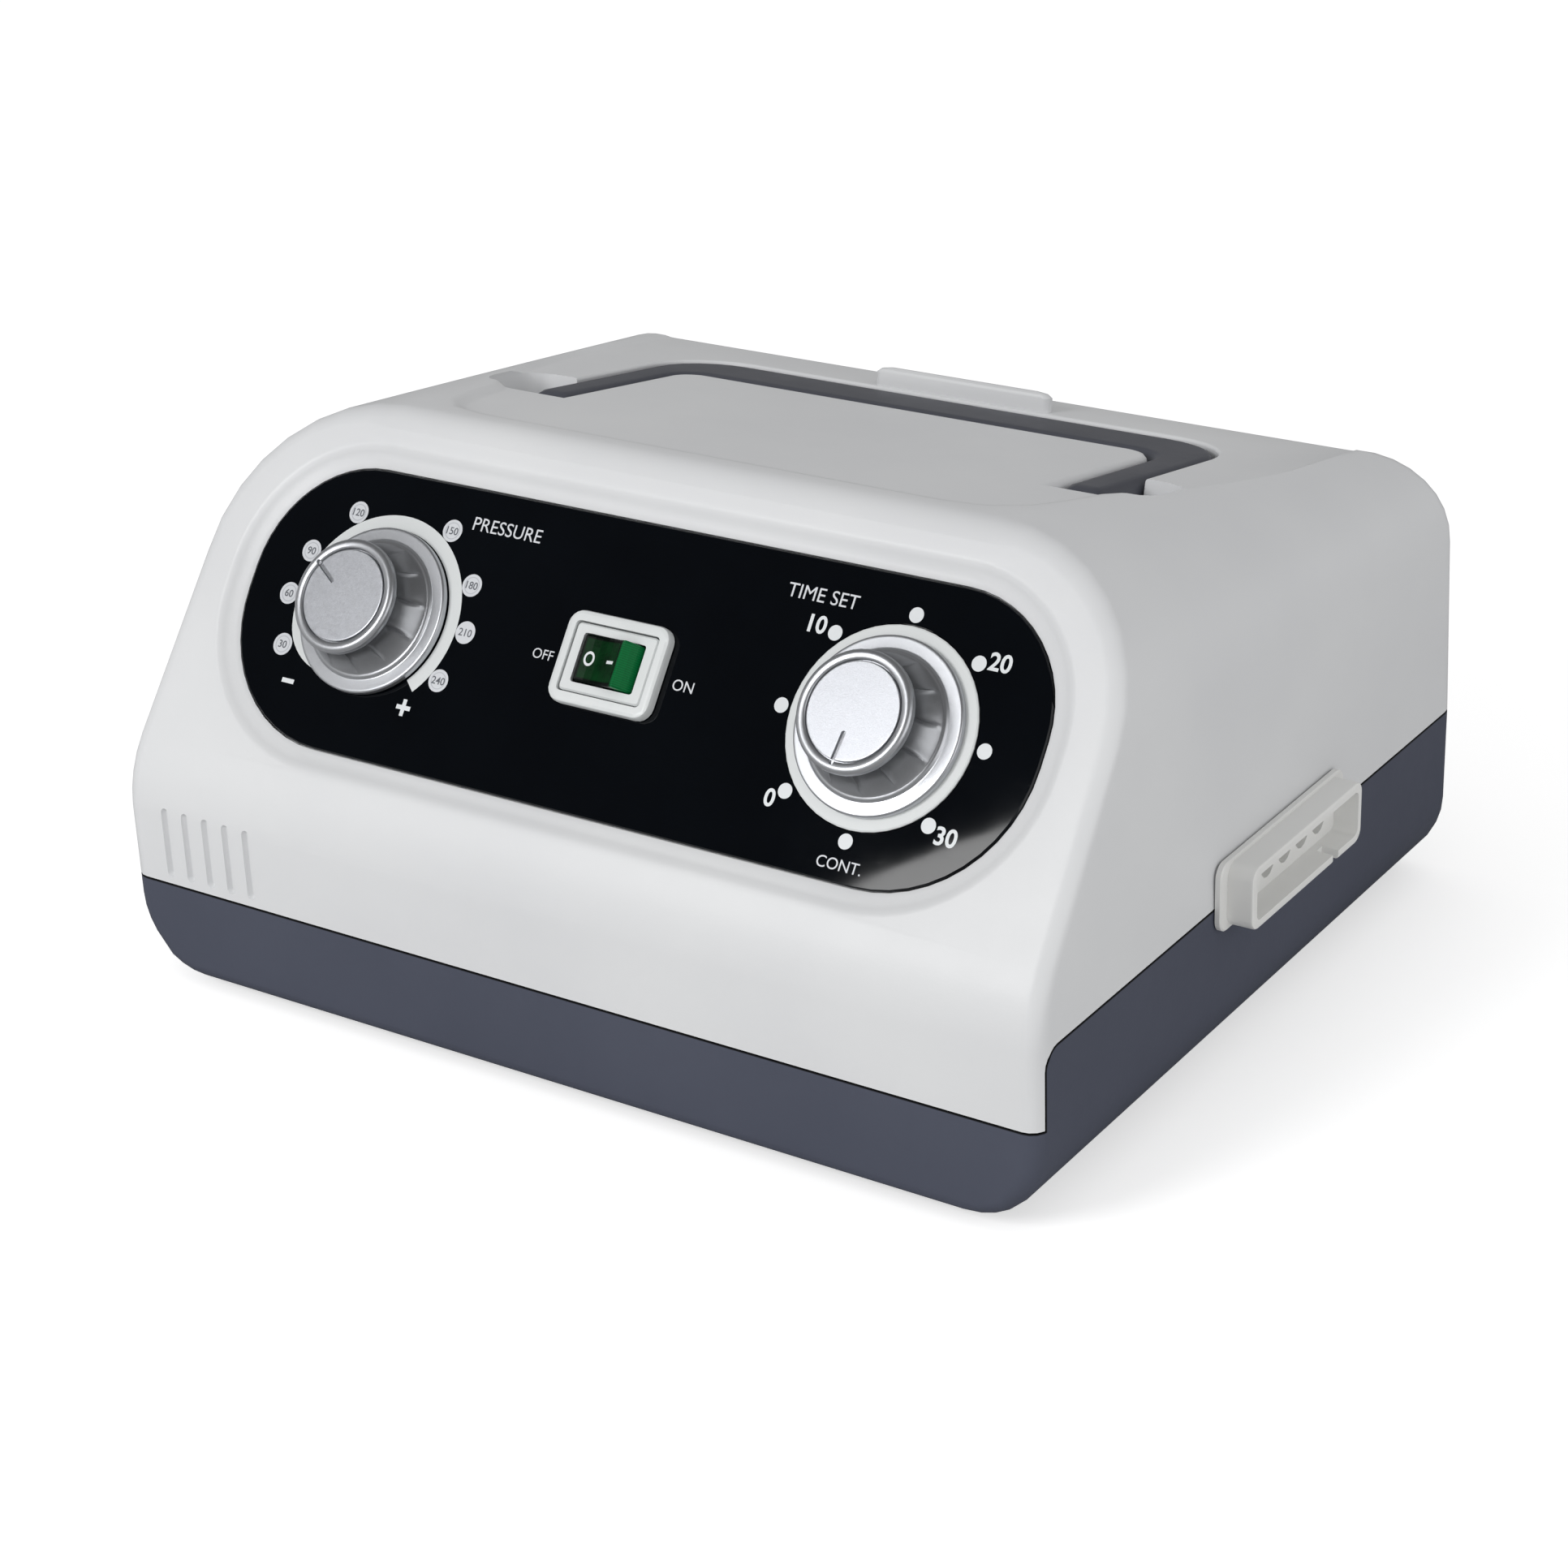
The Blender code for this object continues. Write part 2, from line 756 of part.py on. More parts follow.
def control_panel():
    """Near-black plate with holes for both shafts and the switch, and a shallow seat for the ring."""
    layers = ((0, -panel_thickness), (0, -fine_edge), (-fine_edge, 0))
    panel = stack("control_panel", panel_outline, layers, panel_frame, "panel_black", root)
    for name, place in dial_spots.items():
        frame = panel_frame @ Matrix.Translation((place, 0, 0))
        cut(panel, rod(name + "_neck_hole", neck_radius + gap, -overshoot, overshoot, 24, frame, None, root))
    frame = panel_frame @ Matrix.Translation((dial_spots["timer"], 0, 0))
    profile = ((ring_inner - gap, -ring_seat), (ring_outer + gap, -ring_seat),
               (ring_outer + gap, overshoot), (ring_inner - gap, overshoot))
    cut(panel, turned("timer_ring_seat", profile, ring_sides, frame, None, root, closed=True))
    return cut(panel, switch_hole("panel_switch_hole", overshoot, -overshoot))


# White ring let into the panel round the timer knob.
ring_sides = 48
ring_outer = 0.0216
ring_inner = 0.0150
ring_seat = 0.0005
ring_proud = 0.0004


def dial_ring():
    frame = panel_frame @ Matrix.Translation((dial_spots["timer"], 0, 0))
    low = gap - ring_seat
    profile = ((ring_inner, low), (ring_outer, low), (ring_outer, ring_proud * 0.5),
               (ring_outer - fine_edge, ring_proud), (ring_inner, ring_proud))
    return smooth(turned("timer_dial_ring", profile, ring_sides, frame, "trim_white", root, closed=True))


# Grooves at the left end of the apron.
groove_count = 5
groove_pitch = 0.0060
groove_from_side = 0.0120
groove_first = groove_from_side - half_width
groove_width = 0.0022
groove_depth = 0.0010
groove_low = 0.0272
groove_high = 0.0443


def groove_tool(name, side):
    frame = placed(Vector((side, -half_depth, 0)), across, up)
    half = groove_width / 2
    layers = ((0, overshoot), (0, 0), (-half * 0.15, -groove_depth * 0.5), (-half * 0.7, -groove_depth))
    return block(name, half, groove_low, groove_high, half * 0.98, layers, frame, None, root, 3)


# Rocker switch: snap-in body with a flange, white frame round it, green rocker.
flange_width = 0.0210
flange_height = 0.0150
flange_thickness = 0.0020
switch_offset = -0.0008
body_width = 0.0186
body_height = 0.0128
body_depth = 0.0155
body_top = 0.0012
well_half = 0.0080
well_high = 0.0109
well_floor = -0.0065
rocker_pivot = -0.0005
rocker_radius = 0.0077
rocker_height = 0.0103
rocker_tilt = 12
rocker_corner_angle = 40
rocker_tail_angle = -20
hollow_low = 0.50
hollow_stations = (0.62, 0.3, 0, -0.3, -0.62)
trunnion_radius = 0.0011
trunnion_reach = 0.0006
trim_width = 0.0262
trim_height = 0.0205
trim_proud = 0.0026
trim_corner = 0.0034
trim_soft = 0.0009
bezel_soft = 0.0004
switch_frame_at = panel_frame @ Matrix.Translation((switch_offset, 0, 0))


def switch_hole(name, high, low):
    half = body_width / 2 + gap
    return block(name, half, -body_height / 2 - gap, body_height / 2 + gap, smallest_radius,
                 ((0, low), (0, high)), switch_frame_at, None, root, 2)


def switch_trim():
    """White raised frame standing on the panel round the switch flange."""
    low = gap
    soft = trim_soft
    layers = ((0, low), (0, trim_proud - soft), (-soft * 0.3, trim_proud - soft * 0.3), (-soft, trim_proud))
    trim = block("switch_frame", trim_width / 2, -trim_height / 2, trim_height / 2, trim_corner,
                 layers, switch_frame_at, "trim_white", root)
    inside = block("switch_frame_opening", flange_width / 2 + gap, -flange_height / 2 - gap,
                   flange_height / 2 + gap, smallest_radius, ((0, -overshoot), (0, overshoot)),
                   switch_frame_at, None, root, 3)
    return smooth(cut(trim, inside))


def switch_bezel():
    """White cap over the switch: rim on the panel, window for the rocker."""
    soft = bezel_soft
    layers = ((0, gap), (0, flange_thickness), (-soft, flange_thickness + soft))
    bezel = block("switch_bezel", flange_width / 2, -flange_height / 2, flange_height / 2, smallest_radius,
                  layers, switch_frame_at, "trim_white", root, 3)
    inside = block("bezel_inside", body_width / 2 + gap, -body_height / 2 - gap, body_height / 2 + gap,
                   smallest_radius, ((0, -overshoot), (0, body_top + gap)), switch_frame_at, None, root, 2)
    window = block("bezel_window", well_half, -well_high / 2, well_high / 2, smallest_radius * 0.6,
                   ((0, 0), (0, overshoot)), switch_frame_at, None, root, 2)
    return cut(bezel, inside, window)


def switch_body():
    """Black snap-in housing with an open well for the rocker and bearing holes."""
    body = block("switch_body", body_width / 2, -body_height / 2, body_height / 2, smallest_radius,
                 ((0, -body_depth), (0, body_top)), switch_frame_at, "switch_black", root, 2)
    well = block("switch_well", well_half, -well_high / 2, well_high / 2, smallest_radius * 0.6,
                 ((0, well_floor), (0, overshoot)), switch_frame_at, None, root, 2)
    frame = switch_frame_at @ placed(Vector((0, 0, rocker_pivot)), up, across)
    reach = rocker_height / 2 + trunnion_reach + gap
    bearing = rod("rocker_bearing", trunnion_radius + gap, -reach, reach, 12, frame, None, root)
    return cut(body, well, bearing)


def rocker_profile():
    """Side view of the level rocker about its pivot: round ends and a shallow valley on top."""
    points = []
    for side in (1, -1):
        sweep = rocker_corner_angle - rocker_tail_angle
        angles = [rocker_tail_angle + sweep * step / arc_steps for step in range(arc_steps + 1)]
        if side == -1:
            angles.reverse()
        for angle in angles:
            turn = math.radians(angle)
            points.append((side * rocker_radius * math.cos(turn), rocker_radius * math.sin(turn)))
        if side == 1:
            corner = math.radians(rocker_corner_angle)
            rise = math.sin(corner) - hollow_low
            for step in hollow_stations:
                height = rocker_radius * (hollow_low + rise * abs(step) ** 1.6)
                points.append((rocker_radius * math.cos(corner) * step, height))
    return points


def switch_rocker():
    """Rocker resting with its left end pressed, turning on two short trunnions."""
    turning = empty("rocker_pivot", root, switch_frame_at @ Matrix.Translation((0, 0, rocker_pivot)))
    tilt = Matrix.Rotation(math.radians(-rocker_tilt), 4, "Y")
    half = rocker_height / 2
    soft = 0.0004
    rings = []
    for inset, place in ((soft, -half), (0, soft - half), (0, half - soft), (soft, half)):
        shrink = 1 - inset / rocker_radius
        rings.append([tilt @ Vector((point[0] * shrink, place, point[1] * shrink)) for point in rocker_profile()])
    rocker = loft("switch_rocker", rings, "rocker_green", turning)
    axle = rod("rocker_axle", trunnion_radius, -half - trunnion_reach, half + trunnion_reach, 12,
               placed(Vector((0, 0, 0)), up, across), None, turning)
    return join(rocker, axle)


terminal_width = 0.0048
terminal_thick = 0.0008
terminal_length = 0.0075
terminal_spread = 0.0055


def switch_terminal(name, side):
    """Flat blade standing out of the back of the switch."""
    frame = switch_frame_at @ Matrix.Translation((side * terminal_spread, 0, 0))
    low = -body_depth - gap - terminal_length
    return block(name, terminal_thick / 2, -terminal_width / 2, terminal_width / 2, terminal_thick * 0.3,
                 ((-terminal_thick / 4, low), (0, low + soft_edge), (0, -body_depth - gap)), frame, "brass", root, 1)


# Knobs: skirt, fluted waist, rim with an inset cap, hollow below, bored for a flatted shaft.
knob_lift = 0.0007
knob_rim_radius = 0.0129
knob_waist_radius = 0.0156
knob_neck_radius = 0.0123
knob_cavity_radius = 0.0105
skirt_edge_height = 0.0012
skirt_round = 0.0006
skirt_slope = 0.0014
waist_step = 0.0010
rim_height = 0.0014
rim_round = 0.0005
flute_depths = (0.0012, 0.0015, 0.0009)
notch_depth = 0.0006
notch_reach = 0.0025
knob_cavity_height = 0.0060
cap_radius = 0.0107
cap_thickness = 0.0007
shaft_radius = 0.0030
shaft_top = 0.0100
neck_radius = 0.0035
neck_top = 0.0034
nut_radius = 0.0058
nut_height = 0.0022
flute_sides = 48
pointer_width = 0.0011
rest_angle = {"pressure": 147, "timer": 264}


def dial_frame(name):
    """Turning frame of a knob: third axis out of the panel, first axis along its pointer."""
    turn = Matrix.Rotation(math.radians(rest_angle[name]), 4, "Z")
    return panel_frame @ Matrix.Translation((dial_spots[name], 0, 0)) @ turn


def dial_knob(name, turning):
    skirt_edge = knob_lift + skirt_edge_height
    slope_top = skirt_edge + skirt_slope
    waist_low = slope_top + fine_edge
    rim_low = knob_height - rim_height
    recess = knob_height - cap_thickness - gap
    low_flute, middle_flute, high_flute = flute_depths
    profile = (
        (shaft_radius + gap, knob_cavity_height),
        (knob_cavity_radius, knob_cavity_height),
        (knob_cavity_radius, knob_lift),
        (knob_skirt_radius, knob_lift),
        (knob_skirt_radius, skirt_edge),
        (knob_skirt_radius - skirt_round, skirt_edge + skirt_round),
        (knob_waist_radius + soft_edge, slope_top),
        (knob_waist_radius + fine_edge, waist_low),
        (knob_waist_radius - skirt_round, waist_low + waist_step, low_flute),
        ((knob_waist_radius + knob_neck_radius) / 2, (waist_low + rim_low) / 2, middle_flute),
        (knob_neck_radius, rim_low, high_flute),
        (knob_rim_radius, rim_low + fine_edge),
        (knob_rim_radius, knob_height - rim_round),
        (knob_rim_radius - rim_round, knob_height),
        (cap_radius + gap, knob_height),
        (cap_radius + gap, recess),
        (shaft_radius + gap, recess),
    )
    knob = turned(name + "_knob", profile, flute_sides, Matrix.Identity(4), "knob_satin", turning, closed=True)
    notch = block(name + "_rim_notch", knob_rim_radius, -pointer_width / 2, pointer_width / 2,
                  pointer_width * 0.2, ((0, knob_height - notch_depth), (0, knob_height + overshoot)),
                  Matrix.Translation((2 * knob_rim_radius - notch_reach, 0, 0)), None, turning, 1)
    return smooth(cut(knob, notch))


def knob_cap(name, turning):
    """Satin disc let into the knob, with a pointer groove out to its edge."""
    low = knob_height - cap_thickness
    profile = ((0, low), (cap_radius, low), (cap_radius, knob_height - fine_edge),
               (cap_radius - fine_edge, knob_height), (0, knob_height))
    cap = turned(name + "_knob_cap", profile, flute_sides, Matrix.Identity(4), "cap_satin", turning)
    groove_start = cap_radius * 0.45
    groove = block(name + "_pointer", cap_radius, -pointer_width / 2, pointer_width / 2,
                   pointer_width * 0.45, ((0, knob_height - fine_edge), (0, knob_height + overshoot)),
                   Matrix.Translation((cap_radius + groove_start, 0, 0)), None, turning, 3)
    return smooth(cut(cap, groove))


def dial_shaft(name, turning):
    """Steel shaft with a flat, from the body behind the panel up into the knob."""
    low = -face_wall + panel_depth - gap
    profile = ((0, low), (shaft_radius, low), (shaft_radius, shaft_top - fine_edge),
               (shaft_radius - fine_edge, shaft_top), (0, shaft_top))
    shaft = turned(name + "_shaft", profile, 16, Matrix.Identity(4), "steel", turning)
    flat = block(name + "_shaft_flat", shaft_radius, -shaft_radius * 2, shaft_radius * 2, smallest_radius * 0.3,
                 ((0, neck_top + gap), (0, shaft_top + overshoot)),
                 Matrix.Translation((-shaft_radius * 1.75, 0, 0)), None, turning, 1)
    return cut(shaft, flat)


def dial_nut(name):
    """Hexagon nut that clamps the neck to the panel, hidden in the knob."""
    frame = panel_frame @ Matrix.Translation((dial_spots[name], 0, 0))
    nut = turned(name + "_nut", ((0, gap), (nut_radius, gap), (nut_radius, gap + nut_height), (0, gap + nut_height)),
                 6, frame, "brass", root)
    return cut(nut, rod(name + "_nut_bore", neck_radius + gap, 0, gap + nut_height + overshoot, 24, frame, None, root))


body_front = -face_wall + panel_depth - gap
valve_radius = 0.0120
valve_length = 0.0260
barb_radius = 0.0023
barb_bore = 0.0013
barb_length = 0.0080
hose_radius = 0.0034
hose_bore = 0.0026


def pressure_valve():
    """Relief valve behind the left knob: neck through the panel, stepped body, hose barb at the back."""
    frame = panel_frame @ Matrix.Translation((dial_spots["pressure"], 0, 0))
    rear = body_front - valve_length
    bore = shaft_radius + gap
    step = valve_length * 0.35
    profile = (
        (bore, body_front - gap), (bore, neck_top), (neck_radius, neck_top), (neck_radius, body_front),
        (valve_radius, body_front), (valve_radius, body_front - step),
        (valve_radius * 0.8, body_front - step), (valve_radius * 0.8, rear),
        (barb_radius, rear), (barb_radius, rear - barb_length),
        (barb_bore, rear - barb_length), (barb_bore, rear + step), (0, rear + step),
    )
    profile = ((0, body_front - gap), *profile)
    return smooth(turned("pressure_valve", profile, 24, frame, "brass", root))


timer_half = 0.0170
timer_depth = 0.0240
timer_corner = 0.0030


def timer_body():
    """Clockwork timer case behind the right knob, with its neck through the panel."""
    frame = panel_frame @ Matrix.Translation((dial_spots["timer"], 0, 0))
    rear = body_front - timer_depth
    body = block("timer_body", timer_half, -timer_half, timer_half, timer_corner,
                 ((-soft_edge, rear), (0, rear + soft_edge), (0, body_front)), frame, "inner_black", root, 3)
    neck = rod("timer_neck", neck_radius, body_front - wall, neck_top, 24, frame, None, root)
    bore = rod("timer_bore", shaft_radius + gap, body_front - gap, neck_top + overshoot, 24, frame, None, root)
    return cut(join(body, neck), bore)


# Handle pins, across each arm, held in the slot walls.
pin_radius = 0.0020
pin_sides = 16
pin_overlap = 0.0022


def handle_pin(name, side):
    inner = handle_half - arm_width - slot_clearance - pin_overlap
    outer = handle_half + slot_clearance + pin_overlap
    low = min(side * inner, side * outer)
    high = max(side * inner, side * outer)
    profile = ((0, low), (pin_radius - fine_edge, low), (pin_radius, low + fine_edge),
               (pin_radius, high - fine_edge), (pin_radius - fine_edge, high), (0, high))
    return smooth(turned(name, profile, pin_sides, placed(hinge_spot, back, up), "steel", root))


def pin_hole():
    inner = handle_half - arm_width - slot_clearance - pin_overlap - gap
    outer = handle_half + slot_clearance + pin_overlap + gap
    holes = []
    for side in (-1, 1):
        low = min(side * inner, side * outer)
        high = max(side * inner, side * outer)
        name = "pin_hole_left" if side < 0 else "pin_hole_right"
        holes.append(rod(name, pin_radius + gap, low, high, pin_sides, placed(hinge_spot, back, up), None, root))
    return holes


# Case screws come up from below into posts of the top.
post_from_side = 0.0229
post_side = half_width - post_from_side
post_from_end = 0.0200
post_radius = 0.0045
column_radius = 0.0056
column_below_seam = 0.0060
column_top = side_seam_height - column_below_seam
screw_head_radius = 0.0034
screw_head_height = 0.0026
screw_radius = 0.0016
screw_recess = 0.0130
screw_grip = 0.0110
post_bore_radius = screw_radius + gap
corners = {
    "front_left": (-post_side, -half_depth + post_from_end),
    "front_right": (post_side, -half_depth + post_from_end),
    "rear_left": (-post_side, half_depth - post_from_end),
    "rear_right": (post_side, half_depth - post_from_end),
}


def shell_posts(name, core):
    """Posts under the top for the case screws, trimmed to end inside its wall."""
    side, depth = corners[name]
    frame = Matrix.Translation((side, depth, 0))
    post = rod("post_" + name, post_radius, column_top + gap, crest.z + wall, 16, frame, None, root)
    combine(post, core, "INTERSECT")
    bore = rod("post_bore_" + name, post_bore_radius, 0, column_top + screw_grip + gap, 12, frame, None, root)
    return post, bore


def case_screw(name):
    side, depth = corners[name]
    seat = foot_height + screw_recess
    profile = (
        (0, seat - gap - screw_head_height), (screw_head_radius * 0.7, seat - gap - screw_head_height),
        (screw_head_radius, seat - gap - screw_head_height * 0.6), (screw_head_radius, seat - gap),
        (screw_radius, seat - gap), (screw_radius, column_top + screw_grip - screw_radius),
        (screw_radius * 0.4, column_top + screw_grip), (0, column_top + screw_grip),
    )
    frame = Matrix.Translation((side, depth, 0))
    screw = turned("case_screw_" + name, profile, 12, frame, "steel", root)
    cross = screw_head_radius * 0.55
    for label, turn in (("a", 0), ("b", 90)):
        slot = block("screw_cross_" + name + "_" + label, cross, -gap, gap, gap * 0.2,
                     ((0, foot_height), (0, seat - gap - screw_head_height * 0.55)),
                     frame @ Matrix.Rotation(math.radians(turn), 4, "Z"), None, root, 1)
        cut(screw, slot)
    return screw


# Rubber feet let into the floor.
foot_from_side = 0.0409
foot_side = half_width - foot_from_side
foot_from_end = 0.0170
foot_radius = 0.0068
foot_round = 0.0012
foot_sink = 0.0011
foot_spots = {
    "front_left": (-foot_side, -half_depth + foot_from_end),
    "front_right": (foot_side, -half_depth + foot_from_end),
    "rear_left": (-foot_side, half_depth - foot_from_end),
    "rear_right": (foot_side, half_depth - foot_from_end),
}


def rubber_foot(name):
    side, depth = foot_spots[name]
    profile = ((0, 0), (foot_radius - foot_round, 0), (foot_radius - fine_edge, small_edge), (foot_radius, foot_round),
               (foot_radius, foot_height + foot_sink - gap), (0, foot_height + foot_sink - gap))
    return smooth(turned("foot_" + name, profile, 20, Matrix.Translation((side, depth, 0)), "foot_rubber", root))


# Outlet socket in the right side, over the seam.
socket_length = 0.0530
socket_tall = 0.0145
socket_wall = 0.0022
socket_corner = 0.0030
socket_flange = 0.0028
socket_flange_thick = 0.0014
socket_plate = 0.0016
port_radius = 0.0031
notch_half = 0.00135
notch_corner = 0.0002
notch_behind_middle = 0.0135
socket_inner_end = 0.0150
side_frame = placed(Vector((half_width, socket_behind_middle, socket_height)), back, up)
neck_inset = 0.0010


def socket_hole(name):
    half = socket_length / 2 - neck_inset + gap
    tall = socket_tall / 2 - neck_inset + gap
    return block(name, half, -tall, tall, socket_corner, ((0, -wall - overshoot), (0, overshoot)),
                 side_frame, None, root, 4)


def outlet_socket():
    """Flange and collar outside the wall, port plate inside, and one hose barb behind each port."""
    half = socket_length / 2
    tall = socket_tall / 2
    face = gap + socket_plate
    high = tall + small_edge
    flange = block("outlet_socket", half + socket_flange, -high, high, socket_corner,
                   ((0, gap), (0, gap + socket_flange_thick - fine_edge), (-fine_edge, gap + socket_flange_thick)),
                   side_frame, "socket_grey", root)
    front = gap + socket_reach
    soft = small_edge
    collar = block("socket_collar", half, -tall, tall, socket_corner,
                   ((0, gap + socket_flange_thick / 2), (0, front - soft), (-soft * 0.3, front - soft * 0.3),
                    (-soft, front)), side_frame, None, root)
    back_half = half - neck_inset
    back_tall = tall - neck_inset
    neck = block("socket_neck", back_half, -back_tall, back_tall, socket_corner - gap,
                 ((0, -wall * 2), (0, gap + socket_flange_thick * 0.4)), side_frame, None, root, 4)
    opening = block("socket_opening", half - socket_wall, socket_wall - tall, tall - socket_wall,
                    socket_corner * 0.5, ((0, face), (fine_edge, front + overshoot)), side_frame, None, root, 3)
    notch = block("socket_notch", notch_half, -tall - overshoot, -tall + socket_wall + overshoot / 2, notch_corner,
                  ((0, face + socket_reach * 0.25), (0, front + overshoot * 0.7)),
                  side_frame @ Matrix.Translation((notch_behind_middle, 0, 0)), None, root, 1)
    join(flange, collar, neck)
    cut(flange, opening, notch)
    for index in range(port_count):
        place = side_frame @ Matrix.Translation((port_place(index), 0, 0))
        label = str(index + 1)
        join(flange, rod("socket_barb_" + label, barb_radius, -socket_inner_end, -wall * 2 + sliver, 12,
                         place, None, root))
        profile = ((0, -socket_inner_end - overshoot), (barb_bore, -socket_inner_end - overshoot),
                   (barb_bore, -wall), (port_radius, -wall), (port_radius, face + sliver), (0, face + sliver))
        cut(flange, turned("socket_port_" + label, profile, 12, place, None, root))
    return flange


def port_place(index):
    """Place of a port along the socket, front to back, middle at zero."""
    return (index - (port_count - 1) / 2) * port_pitch


# Distributor: block with one barb per port, its gear motor on top.
block_width = 0.0240
block_length = 0.0480
block_gap_to_socket = 0.0110
block_foot = 0.0040
motor_radius = 0.0180
motor_height = 0.0190
block_right = half_width - socket_inner_end - block_gap_to_socket
block_left = block_right - block_width
block_below_ports = 0.0120
block_above_ports = 0.0110
block_low = socket_height - block_below_ports
block_high = socket_height + block_above_ports
inlet_spread = 0.0150
block_corner = 0.0020


def distributor_block():
    """Block on two legs that shares the air out to the ports."""
    centre = Vector(((block_left + block_right) / 2, socket_behind_middle, 0))
    frame = Matrix.Translation(centre)
    half = block_width / 2
    long = block_length / 2
    body = block("distributor_block", half, -long, long, block_corner,
                 ((-small_edge, block_low), (0, block_low + small_edge), (0, block_high - small_edge),
                  (-small_edge, block_high)),
                 frame, "inner_black", root, 3)
    for label, side in (("front", -1), ("rear", 1)):
        spot = frame @ Matrix.Translation((0, side * (long - block_foot), 0))
        leg = block("distributor_leg_" + label, half * 0.8, -block_foot / 2, block_foot / 2, soft_edge,
                    ((0, floor_height + gap), (0, block_low + sliver * 2)), spot, None, root, 1)
        join(body, leg)
    barbs = [(block_right, 1, port_place(index)) for index in range(port_count)]
    barbs += [(block_left, -1, inlet_spread), (block_left, -1, -inlet_spread)]
    for index, (side, direction, place) in enumerate(barbs):
        start = Vector((side, socket_behind_middle + place, socket_height))
        spot = placed(start, back * direction, up)
        label = str(index + 1)
        join(body, rod("distributor_barb_" + label, barb_radius, -sliver * 2, barb_length * 0.62, 10,
                       spot, None, root))
        cut(body, rod("distributor_bore_" + label, barb_bore, -half * 0.5, barb_length, 8, spot, None, root))
    return body


def distributor_motor():
    """Flat gear motor standing on the distributor."""
    frame = Matrix.Translation(((block_left + block_right) / 2, socket_behind_middle, block_high + gap))
    soft = soft_edge
    profile = (
        (0, 0), (motor_radius * 0.55, 0), (motor_radius * 0.55, wall), (motor_radius, wall),
        (motor_radius, motor_height - soft), (motor_radius - soft, motor_height), (0, motor_height),
    )
    return smooth(turned("distributor_motor", profile, 28, frame, "pump_cast", root))


def hose(name, path, sides=10):
    """Open-ended hose with a bore, along a path of points."""
    rows = []
    points = []
    side = None
    frames = []
    for index, point in enumerate(path):
        ahead = path[min(index + 1, len(path) - 1)] - path[max(index - 1, 0)]
        ahead = ahead.normalized()
        if side is None:
            side = ahead.orthogonal().normalized()
        side = (side - ahead * side.dot(ahead)).normalized()
        frames.append((point, side, ahead.cross(side)))
    walls = [(frame, hose_radius) for frame in frames] + [(frame, hose_bore) for frame in reversed(frames)]
    for (point, first, second), radius in walls:
        row = []
        for step in range(sides):
            angle = 2 * math.pi * step / sides
            row.append(len(points))
            points.append(point + first * radius * math.cos(angle) + second * radius * math.sin(angle))
        rows.append(row)
    faces = []
    for low, high in zip(rows, rows[1:] + rows[:1]):
        for step in range(sides):
            after = (step + 1) % sides
            faces.append((low[step], low[after], high[after], high[step]))
    return smooth(solid(name, points, faces, "hose_clear", root))


def curve_path(start, start_way, end, end_way, straight, pull, steps):
    """Path that leaves and arrives along given ways, straight over each barb."""
    first = start + start_way * straight
    last = end - end_way * straight
    first_pull = first + start_way * pull
    last_pull = last - end_way * pull
    path = [start]
    for step in range(steps + 1):
        share = step / steps
        rest = 1 - share
        path.append(first * rest ** 3 + first_pull * 3 * rest ** 2 * share
                    + last_pull * 3 * rest * share ** 2 + last * share ** 3)
    path.append(end)
    return path


def outlet_hose(index):
    depth = socket_behind_middle + port_place(index)
    start = Vector((block_right + gap, depth, socket_height))
    end = Vector((half_width - wall * 2 - gap, depth, socket_height))
    return hose("outlet_hose_" + str(index + 1), [start, (start + end) / 2, end], 12)


# Twin-head pump on a plate with four rubber mounts.
pump_from_side = 0.0769
pump_side = pump_from_side - half_width
pump_behind_middle = 0.0260
plate_half_long = 0.0470
plate_half_deep = 0.0300
plate_thick = 0.0016
mount_height = 0.0085
mount_radius = 0.0055
core_half_long = 0.0240
core_half_deep = 0.0250
core_height = 0.0520
head_length = 0.0190
head_half_deep = 0.0230
head_height = 0.0460
core_corner = 0.0030
core_soft = 0.0010
head_corner = 0.0060
head_soft = 0.0012
plate_low = floor_height + 2 * gap + mount_height
plate_high = plate_low + plate_thick
mount_inset = 0.0065
mount_spots = {
    "front_left": (-1, -1), "front_right": (1, -1), "rear_left": (-1, 1), "rear_right": (1, 1),
}


def mount_place(name):
    side, depth = mount_spots[name]
    return (pump_side + side * (plate_half_long - mount_inset),
            pump_behind_middle + depth * (plate_half_deep - mount_inset))


def pump_mount(name):
    """Waisted rubber mount between the floor and the pump plate."""
    side, depth = mount_place(name)
    low = floor_height + gap
    waist = mount_radius * 0.7
    profile = ((0, low), (mount_radius, low), (mount_radius, low + mount_height * 0.25),
               (waist, low + mount_height * 0.4), (waist, low + mount_height * 0.6),
               (mount_radius, low + mount_height * 0.75), (mount_radius, low + mount_height),
               (0, low + mount_height))
    return smooth(turned("pump_mount_" + name, profile, 16, Matrix.Translation((side, depth, 0)),
                         "foot_rubber", root))


def pump_plate():
    frame = Matrix.Translation((pump_side, pump_behind_middle, 0))
    return block("pump_plate", plate_half_long, -plate_half_deep, plate_half_deep, mount_inset,
                 ((0, plate_low), (0, plate_high)), frame, "steel", root)


